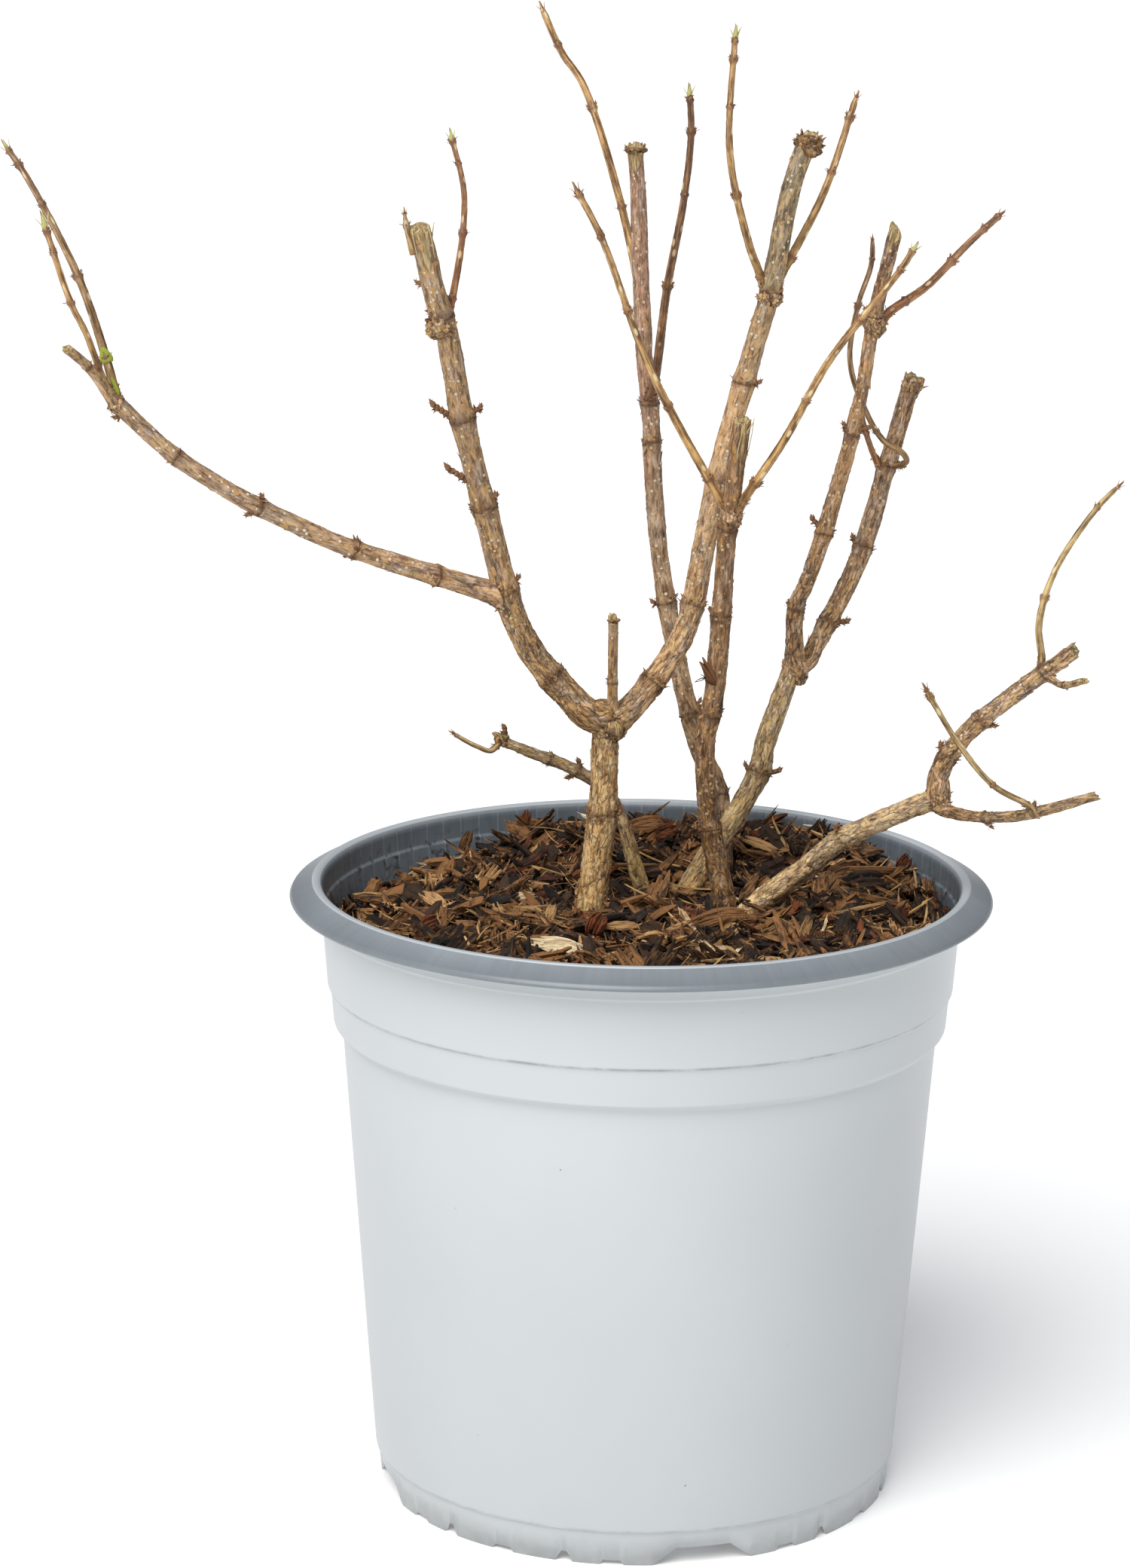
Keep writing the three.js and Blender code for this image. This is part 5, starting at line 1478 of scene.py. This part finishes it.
def dress_shoot(spots, limb):
    """Leaf cushions, buds and scales of a one-year shoot."""
    rng = spots.rng
    # Each node: a leaf cushion with a short pointed bud on both sides
    for number, share in enumerate(limb.knots):
        s = share * limb.length
        if limb.length - s < TIP_ROOM:
            continue
        for half in (0, 1):
            angle = node_turn(limb, number) + half * math.pi
            wide = limb.width[1] * rng.uniform(0.6, 0.8)
            spots.on("node_scales", limb, s - 0.2, angle, -0.25, 0.25, (wide, wide, wide * 1.2))
            spots.on("brown_buds", limb, s + 0.5, angle, -0.2, 0.35,
                     (wide * 1.3, wide * 1.1, wide * 1.15))
            for _ in range(3):
                turn = angle + rng.uniform(-0.9, 0.9)
                spots.splay(limb, s, s + rng.uniform(-0.5, 0.5), turn, -0.1, 0.9, (0.8, 1.7))
        for turn in rng.uniform(0, TAU, 3):
            spots.on("papery_scales", limb, s + rng.uniform(-0.4, 0.2), turn, -0.15, 0.3,
                     rng.uniform(0.8, 1.3))
    # Reddish pointed scales around the foot
    if limb.length > LONG_SHOOT:
        for row, lean in ((1.0, 0.5), (2.2, 0.35), (3.4, 0.25)):
            for turn in rng.uniform(0, TAU, 5):
                here = (limb, row + limb.width[0] * 0.9, turn, -0.25)
                spots.on("papery_scales" if rng.random() < 0.6 else "brown_buds", *here, lean,
                         rng.uniform(1.1, 1.9))
                if rng.random() < 0.4:
                    spots.on("dark_bits", *here, 1.0, rng.uniform(1.0, 1.8))
    # End bud with its pair of scales
    tall, wide, green = limb.facts
    ahead = limb.ahead[-1]
    start = limb.centre[-1] - ahead * (tall * 1.02 + 0.2)
    buds, leaves = ("green_buds", "green_bud_scales") if green else ("brown_buds", "node_scales")
    wide = wide * (0.86 if green else 0.72)
    spots.put(buds, start, limb.across[-1], ahead, (wide / SLIM, wide / SLIM, tall))
    for half in (0, 1):
        way = limb.across[-1] * (1 - 2 * half)
        spots.put(leaves, start + way * wide * 0.32 + ahead * half * 0.4, way, ahead + way * 0.1,
                  (wide * 1.25, wide, tall * (0.86 - 0.14 * half)), 1)
    for turn in rng.uniform(0, TAU, 4):
        way = limb.outward(-1, turn)
        spots.put("node_scales", start + way * wide * 0.35, way, ahead + way * 0.35,
                  rng.uniform(1.0, 1.4))


def dress_old_limb(spots, limb, flakes):
    """Papery scales and dark bits around a limb's knots, and lifted flakes of skin along it."""
    rng = spots.rng
    for share in limb.knots:
        s = share * limb.length
        for turn in rng.uniform(0, TAU, int(4 + limb.mean * 4)):
            near = s + rng.normal(0, limb.width[1] * 0.12)
            size = rng.uniform(0.9, 1.3 + limb.mean * 0.32)
            spots.on("papery_scales", limb, near, turn, -0.3, rng.uniform(0.1, 0.5), size,
                     rng.integers(3))
            if rng.random() < 0.5:
                spots.splay(limb, s, near, turn, -0.3, rng.uniform(0.5, 1.3), (0.9, 1.6))
    count = int(limb.length * limb.mean * 0.14 * flakes)
    for s, turn in zip(rng.uniform(3, limb.length - 3, count), rng.uniform(0, TAU, count)):
        place, outward, ahead, around = limb.at(s, turn, -0.18)
        size = rng.uniform(1.4, 3.4) * min(1, limb.mean / 2.5)
        spots.put("golden_flakes", place, outward + around * rng.uniform(-0.2, 0.2),
                  ahead * rng.choice((-1, 1)) + outward * 0.06 + around * rng.uniform(-0.2, 0.2),
                  (size * rng.uniform(0.5, 1.0), size * 0.35, size), rng.integers(3))


def dress_spur(spots, limb, share, direction, tall):
    """A short side spur: buds in a row with scales all round, and a bud at its end."""
    rng = spots.rng
    s = share * limb.length
    place, outward, ahead, around = limb.at(s, limb.facing(s, direction), -0.9)
    long = tall > LONG_SPUR
    way = outward + ahead * (1.1 if long else 0.6)
    way = way / np.linalg.norm(way)
    wide = 2.9 if long else min(2.4, tall * 0.85)
    step = 0.0
    while step < tall - 1.2:
        joint = wide * (1 - 0.25 * step / tall) * rng.uniform(0.9, 1.1)
        spots.put("brown_buds", place + way * step, ahead, way + around * rng.uniform(-0.15, 0.15),
                  (joint / ROUND, joint / ROUND, 2.6), 1)
        for turn in rng.uniform(0, TAU, 6):
            out = ahead * math.cos(turn) + around * math.sin(turn)
            kinds = ("papery_scales", "papery_scales", "dark_bits", "node_scales")
            spots.put(kinds[rng.integers(4)], place + way * (step + 0.9) + out * joint * 0.36, out,
                      way + out * rng.uniform(0.3, 0.9), rng.uniform(1.1, 1.9), rng.integers(2))
        step += 1.7
    spots.put("brown_buds", place + way * step, ahead, way + ahead * 0.3,
              (wide * 1.9, wide * 1.9, 3.4 if long else 2.2))
    for turn in (0.3, 2.4, 4.4):
        out = ahead * math.cos(turn) + around * math.sin(turn)
        spots.put("node_scales", place + way * step + out * 0.5, out,
                  way + ahead * 0.3 + out * 0.25, (1.8, 1.6, 2.4 if long else 1.6), 1)


def dress_knuckles(spots):
    """Torn scales that stand all over the forks' knuckles and the crowns."""
    rng = spots.rng
    for _, leaver, shift, half in KNUCKLES.values():
        middle, half = LIMBS[leaver].centre[0] + np.array(shift), np.array(half)
        for _ in range(int(half[0] * half[2] * 2.2)):
            way = rng.normal(size=3)
            way = way / np.linalg.norm(way)
            flow = np.cross(way, rng.normal(size=3)) + np.array([0, 0, 0.4])
            size = rng.uniform(0.9, 2.0)
            kinds = ("papery_scales", "node_scales", "golden_flakes", "dark_bits")
            spots.put(kinds[rng.integers(4)], middle + way * half * 0.96, way,
                      flow + way * rng.uniform(0.05, 0.4),
                      (size * 1.1, size, size), rng.integers(2))
    for _, carrier, half, down, aside, _ in CROWNS.values():
        limb, half = LIMBS[carrier], np.array(half)
        middle = crown_middle(limb, down, aside)
        for _ in range(int(half[0] * 5)):
            way = limb.outward(-1, rng.uniform(0, TAU)) + limb.ahead[-1] * rng.uniform(-0.4, 0.5)
            size = rng.uniform(1.0, 2.1) * half[0] / 4
            kinds = ("papery_scales", "brown_buds", "golden_flakes", "dark_bits", "papery_scales")
            spots.put(kinds[rng.integers(5)], middle + way / np.linalg.norm(way) * half * 0.9, way,
                      limb.ahead[-1] + way * rng.uniform(-0.1, 0.5) + rng.normal(size=3) * 0.25,
                      (size * 1.2, size, size), rng.integers(2))


def dress_marked_places(spots):
    """The dried shell on the centre front stem, and scraped spots on the long far left shoot."""
    limb = LIMBS["centre_front_stem"]
    s = 0.515 * limb.length
    place, outward, ahead, around = limb.at(s, limb.facing(s, (-1, -0.5, 0)), -0.2)
    for lean, aside, size in ((0.12, 0.0, (7.5, 7.0, 8.5)), (0.3, 0.18, (6.0, 6.0, 7.5)),
                              (-0.05, 0.15, (6.0, 7.0, 8.0)), (0.2, -0.25, (5.5, 6.0, 7.0)),
                              (-0.5, 0.1, (5.0, 5.0, 5.0))):
        spots.put("curled_dry_scale", place + outward * 0.3, outward,
                  ahead + outward * lean + around * aside, size, 2)
    for lean, size in ((-0.9, 3.4), (1.2, 2.6), (0.1, 4.0)):
        spots.put("dark_bits", place + outward + ahead * 1.5, outward, ahead * lean + outward, size)
    # A hanging fibre
    place, outward, ahead, _ = limb.at(0.49 * limb.length, limb.facing(s, (1, -0.6, 0)))
    spots.put("dark_bits", place, outward, -ahead + outward * 0.3, (7.0, 7.0, 9.0), 1)
    limb = LIMBS["far_left_long_shoot"]
    for share, direction, size in ((0.03, (-0.2, -1, 0), (3.6, 2.0, 7.0)),
                                   (0.15, (0.1, -1, 0), (4.4, 2.6, 5.0))):
        s = share * limb.length
        spots.on("green_scrapes", limb, s, limb.facing(s, direction), 0.3, -0.12, size, 2)


def dress_broken_tops(spots):
    """Torn fibres and peeled skin at broken tops."""
    rng = spots.rng
    for name, (reach, spread, direction) in SPLIT_TOPS.items():
        limb = LIMBS[name]
        ahead, radius = limb.ahead[-1], float(limb.radius(np.array(limb.length)))
        for turn in rng.uniform(0, TAU, 3 if name in SLANTED_CUTS else 9):
            way = limb.outward(-1, turn)
            place = limb.centre[-1] + way * radius * rng.uniform(0.7, 1.0) - ahead * 3.6
            spots.put("raw_slivers", place, way, ahead + way * rng.uniform(-0.05, 0.2),
                      (rng.uniform(2.5, 4.5), 3.0, rng.uniform(2.8, 4.8)), rng.integers(2))
        for side in (-1, 1):
            turn = limb.facing(limb.length, direction) + side * spread
            place, outward, ahead, around = limb.at(limb.length - reach * 0.8, turn, -0.3)
            spots.put("raw_slivers", place, outward + around * side * 0.8, ahead + outward * 0.16,
                      (4.5, 5.0, reach * 0.9), 1)
    limb = LIMBS["left_upright_bough"]
    spots.on("raw_slivers", limb, limb.length - 8.5, limb.facing(limb.length, (-1, -0.5, 0)), -0.3,
             0.3, (5.5, 6.0, 12.5), 1)


def build_buds(settings):
    """Bud scales, end buds, spurs, papery flakes and torn fibres, each kind joined to one mesh."""
    spots = Spots(settings.seed + 4)
    for name in SHOOTS:
        dress_shoot(spots, LIMBS[name])
    for name in (*STEMS, *BOUGHS):
        dress_old_limb(spots, LIMBS[name], settings.flakes)
    for name, *facts in SPURS:
        dress_spur(spots, LIMBS[name], *facts)
    dress_knuckles(spots)
    dress_marked_places(spots)
    dress_broken_tops(spots)
    tree = scatter_tree()
    shapes = {key: shape_group(key + " shapes", [make(*facts) for facts in rows])
              for key, (make, rows) in BUD_SHAPES.items()}
    for name, (kind, title, colour, node) in BUD_PIECES.items():
        place, turn, size, pick = zip(*spots.rows[name])
        base = new_piece(name + "_spots", place, [], [],
                         attributes={"turn": turn, "size": size, "pick": pick})
        made = run_tree(name, base, tree, {
            "Shapes": shapes[kind], "Size": settings.size,
            "Bark": plain_wood(title, getattr(settings, colour, colour))})
        bpy.data.objects.remove(base)
        ride(made, "shoot_bark" if node in SHOOTS else "bark", node)


def build_carried():
    """Gives the potting mix, which stays as its solid, its material."""
    made, node = new_material("moist peat and bark mix")
    cloud = node("TexNoise", Vector=node("TexCoord", out="Object"), Scale=350.0, Detail=5.0)
    finish_surface(node, coated(node, linear("#1d140e"), (cloud, linear("#4a3524"))), 0.95, cloud,
                   0.8, 0.001)
    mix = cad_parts["potting_mix"].data
    mix.materials.clear()
    mix.materials.append(made)


# Stage

def build_stage(settings):
    """Pale floor, soft studio lights and the camera of the photograph."""
    made, node = new_material("backlit white acrylic floor")
    finish_surface(node, settings.floor, 0.9,
                   **{"Emission Color": (1, 1, 1, 1), "Emission Strength": 0.17})
    reach, steps = 12000, 24
    ring = [(reach * math.cos(t), reach * math.sin(t), 0) for t in np.arange(steps) / steps * TAU]
    new_piece("studio_floor", ring, [list(range(steps))], [made])
    scene = bpy.context.scene
    scene.world = bpy.data.worlds.new("studio")
    scene.world.use_nodes = True
    sky = scene.world.node_tree.nodes["Background"].inputs
    sky["Color"].default_value = (0.92, 0.97, 1.06, 1)
    sky["Strength"].default_value = settings.sky
    # One very wide soft light, high on the left in front, which reaches the whole floor evenly
    light = bpy.data.lights.new("soft_key", "SUN")
    light.color = (1.0, 0.985, 0.955)
    light.energy, light.angle = settings.key_strength, settings.key_softness
    lamp = bpy.data.objects.new("soft_key", light)
    lamp.rotation_mode = "QUATERNION"
    lamp.rotation_quaternion = Vector((0.33, 0.75, -0.96)).to_track_quat("-Z", "Y")
    scene.collection.objects.link(lamp)
    scene.view_settings.view_transform = "Standard"
    scene.view_settings.look = "None"
    build_camera()


# The camera, fitted to the pot's rings in the photograph: turns in radians, place in millimetres,
# and focal length and the photograph's height in its pixels
YAW, PITCH, ROLL = -0.01698, 0.23904, -0.00881
CAMERA_PLACE = (0, -1477.0, 595.34)
FOCAL_LENGTH, PHOTO_HEIGHT = 6221.89, 2081


def build_camera():
    """The camera that took the photograph."""
    ahead = Vector((math.sin(YAW) * math.cos(PITCH), math.cos(YAW) * math.cos(PITCH),
                    -math.sin(PITCH)))
    level = Vector((math.cos(YAW), -math.sin(YAW), 0))
    down = ahead.cross(level)
    right = level * math.cos(ROLL) + down * math.sin(ROLL)
    down = down * math.cos(ROLL) - level * math.sin(ROLL)
    camera = bpy.data.objects.new("camera", bpy.data.cameras.new("camera"))
    camera.data.sensor_width = 36
    camera.data.lens = FOCAL_LENGTH / PHOTO_HEIGHT * camera.data.sensor_width
    camera.data.clip_end = 100
    turned = Matrix((right, -down, -ahead)).transposed().to_4x4()
    turned.translation = Vector(CAMERA_PLACE) * MM
    camera.matrix_world = turned
    bpy.context.scene.collection.objects.link(camera)
    bpy.context.scene.camera = camera


# Add-on

def colour_setting(title, text, hex_colour):
    """A colour that the user can change."""
    return bpy.props.FloatVectorProperty(name=title, description=text, subtype="COLOR", size=4,
                                         min=0, max=1, default=linear(hex_colour))


def share_setting(title, text, low, high):
    """A factor that the user can change; 1 is as built."""
    return bpy.props.FloatProperty(name=title, description=text, subtype="FACTOR", default=1.0,
                                   min=low, max=high)


class PotSettings(bpy.types.PropertyGroup):
    """Colours of the pot, and its drain holes."""
    outside: colour_setting("Outside", "The pot's white outer side", "#cbd0d2")
    rim: colour_setting("Rim", "The silver grey rolled rim", "#979fa6")
    # Darker than the rim, though the same sheet: painted shade inside the pot
    inside: colour_setting("Inside", "The wall above the mulch", "#7c868f")
    dirt: colour_setting("Dirt", "Fine dirt at the steps and the base line", "#5d564b")
    dirt_amount: share_setting("Dirt amount", "How much dirt clings to the steps", 0.0, 1.0)
    drain_width: bpy.props.FloatProperty(name="Drain holes", description="Width of each drain hole",
                                         unit="LENGTH", default=0.009, min=0.002, max=0.014)


class MulchSettings(bpy.types.PropertyGroup):
    """How the mulch lies, and its colours."""
    fullness: share_setting("Fullness", "Share of the usual number of chips", 0.1, 1.5)
    chip_size: share_setting("Chip size", "Length of the chips against the usual", 0.5, 1.3)
    seed: bpy.props.IntProperty(name="Seed", default=0, min=0,
                                description="Another number lays the chips another way")
    brown_tint: colour_setting("Brown chips", "Dyes the dark, red and brown chips", "#ffffff")
    pale_tint: colour_setting("Pale chips", "Dyes the tan, cream and straw chips", "#ffffff")


class WoodSettings(bpy.types.PropertyGroup):
    """Bark of the stems and boughs."""
    relief: share_setting("Relief", "Depth of the bark's cracks, flakes and ridges", 0.2, 1.2)
    tint: colour_setting("Bark", "Dyes the bark of all old wood", "#ffffff")
    film: colour_setting("Film", "The cool grey film on parts of the bark", "#978679")
    crack: colour_setting("Cracks", "The lines between plates of bark", "#2e2014")
    knot_ring: colour_setting("Knot rings", "Papery rings at the knots", "#6a462a")
    end_grain: colour_setting("Bare wood", "Cut ends and split tops", "#e6d2a0")
    algae: colour_setting("Algae", "The greenish film at some stems' feet", "#a3995c")


class ShootSettings(bpy.types.PropertyGroup):
    """Bark of the one-year shoots."""
    relief: share_setting("Relief", "Height of the rings and leaf cushions", 0.2, 1.2)
    tint: colour_setting("Bark", "Dyes the bark of all one-year shoots", "#ffffff")
    foot_red: colour_setting("Foot", "The red brown of each shoot's foot", "#6e4128")


class BudSettings(bpy.types.PropertyGroup):
    """Buds, scales and flakes."""
    size: share_setting("Size", "Size of the buds, scales and flakes", 0.5, 1.2)
    flakes: share_setting("Flakes", "Share of the usual number of lifted flakes", 0.0, 2.0)
    seed: bpy.props.IntProperty(name="Seed", default=0, min=0,
                                description="Another number turns the scales another way")
    green: colour_setting("Green buds", "End buds that have begun to swell", "#b9b473")
    brown: colour_setting("Brown buds", "Resting buds and spurs", "#7a5538")
    scales: colour_setting("Bud scales", "Scales at the shoots' nodes", "#b08a68")
    papery: colour_setting("Bark scales", "Papery scales at the knots", "#8a6542")


class StageSettings(bpy.types.PropertyGroup):
    """Floor, and light on the plant."""
    floor: colour_setting("Floor", "Colour of the floor", "#fcfcfc")
    sky: bpy.props.FloatProperty(name="Sky", description="Strength of the even light all round",
                                 default=0.29, min=0)
    key_strength: bpy.props.FloatProperty(name="Key light", default=2.98, min=0,
                                          description="Strength of the main light")
    key_softness: bpy.props.FloatProperty(name="Softness", subtype="ANGLE", min=0.02, max=3.0,
                                          description="Width of the main light",
                                          default=math.radians(46))


class HYDRANGEA_OT_pot(bpy.types.Operator):
    """Makes the pot's wall and floor"""
    bl_idname = "hydrangea.pot"
    bl_label = "Nursery pot"

    def execute(self, context):
        build_pot(context.scene.hydrangea_pot)
        return {"FINISHED"}


class HYDRANGEA_OT_mulch(bpy.types.Operator):
    """Lays the bark mulch"""
    bl_idname = "hydrangea.mulch"
    bl_label = "Bark mulch"

    def execute(self, context):
        build_mulch(context.scene.hydrangea_mulch)
        return {"FINISHED"}


class HYDRANGEA_OT_old_wood(bpy.types.Operator):
    """Makes the stems and boughs with their bark"""
    bl_idname = "hydrangea.old_wood"
    bl_label = "Stems and boughs"

    def execute(self, context):
        build_old_wood(context.scene.hydrangea_wood)
        return {"FINISHED"}


class HYDRANGEA_OT_shoots(bpy.types.Operator):
    """Makes the one-year shoots"""
    bl_idname = "hydrangea.shoots"
    bl_label = "One-year shoots"

    def execute(self, context):
        build_shoots(context.scene.hydrangea_shoots)
        return {"FINISHED"}


class HYDRANGEA_OT_buds(bpy.types.Operator):
    """Adds bud scales, buds, spurs, flakes and torn fibres"""
    bl_idname = "hydrangea.buds"
    bl_label = "Buds and scales"

    def execute(self, context):
        build_buds(context.scene.hydrangea_buds)
        return {"FINISHED"}


class HYDRANGEA_OT_carried(bpy.types.Operator):
    """Gives the potting mix its material"""
    bl_idname = "hydrangea.carried"
    bl_label = "Potting mix"

    def execute(self, context):
        build_carried()
        return {"FINISHED"}


class HYDRANGEA_OT_stage(bpy.types.Operator):
    """Sets the floor, the lights and the camera"""
    bl_idname = "hydrangea.stage"
    bl_label = "Studio"

    def execute(self, context):
        build_stage(context.scene.hydrangea_stage)
        return {"FINISHED"}


STEPS = (HYDRANGEA_OT_stage, HYDRANGEA_OT_pot, HYDRANGEA_OT_carried, HYDRANGEA_OT_mulch,
         HYDRANGEA_OT_old_wood, HYDRANGEA_OT_shoots, HYDRANGEA_OT_buds)


class HYDRANGEA_PT_panel(bpy.types.Panel):
    """Shows each group of settings and a button for each step"""
    bl_idname = "HYDRANGEA_PT_panel"
    bl_label = "Potted hydrangea"
    bl_space_type = "VIEW_3D"
    bl_region_type = "UI"
    bl_category = "Hydrangea"

    def draw(self, context):
        for name, kind in SETTINGS.items():
            box = self.layout.box()
            box.label(text=kind.__doc__)
            for key in kind.__annotations__:
                box.prop(getattr(context.scene, name), key)
        for step in STEPS:
            self.layout.operator(step.bl_idname)


SETTINGS = {"hydrangea_pot": PotSettings, "hydrangea_mulch": MulchSettings,
            "hydrangea_wood": WoodSettings, "hydrangea_shoots": ShootSettings,
            "hydrangea_buds": BudSettings, "hydrangea_stage": StageSettings}
CLASSES = (*SETTINGS.values(), *STEPS, HYDRANGEA_PT_panel)


def register():
    for kind in CLASSES:
        bpy.utils.register_class(kind)
    for name, kind in SETTINGS.items():
        setattr(bpy.types.Scene, name, bpy.props.PointerProperty(type=kind))


def unregister():
    for name in SETTINGS:
        delattr(bpy.types.Scene, name)
    for kind in reversed(CLASSES):
        bpy.utils.unregister_class(kind)


def main():
    register()
    for step in STEPS:
        group, name = step.bl_idname.split(".")
        getattr(getattr(bpy.ops, group), name)()


if __name__ == "__main__":
    main()
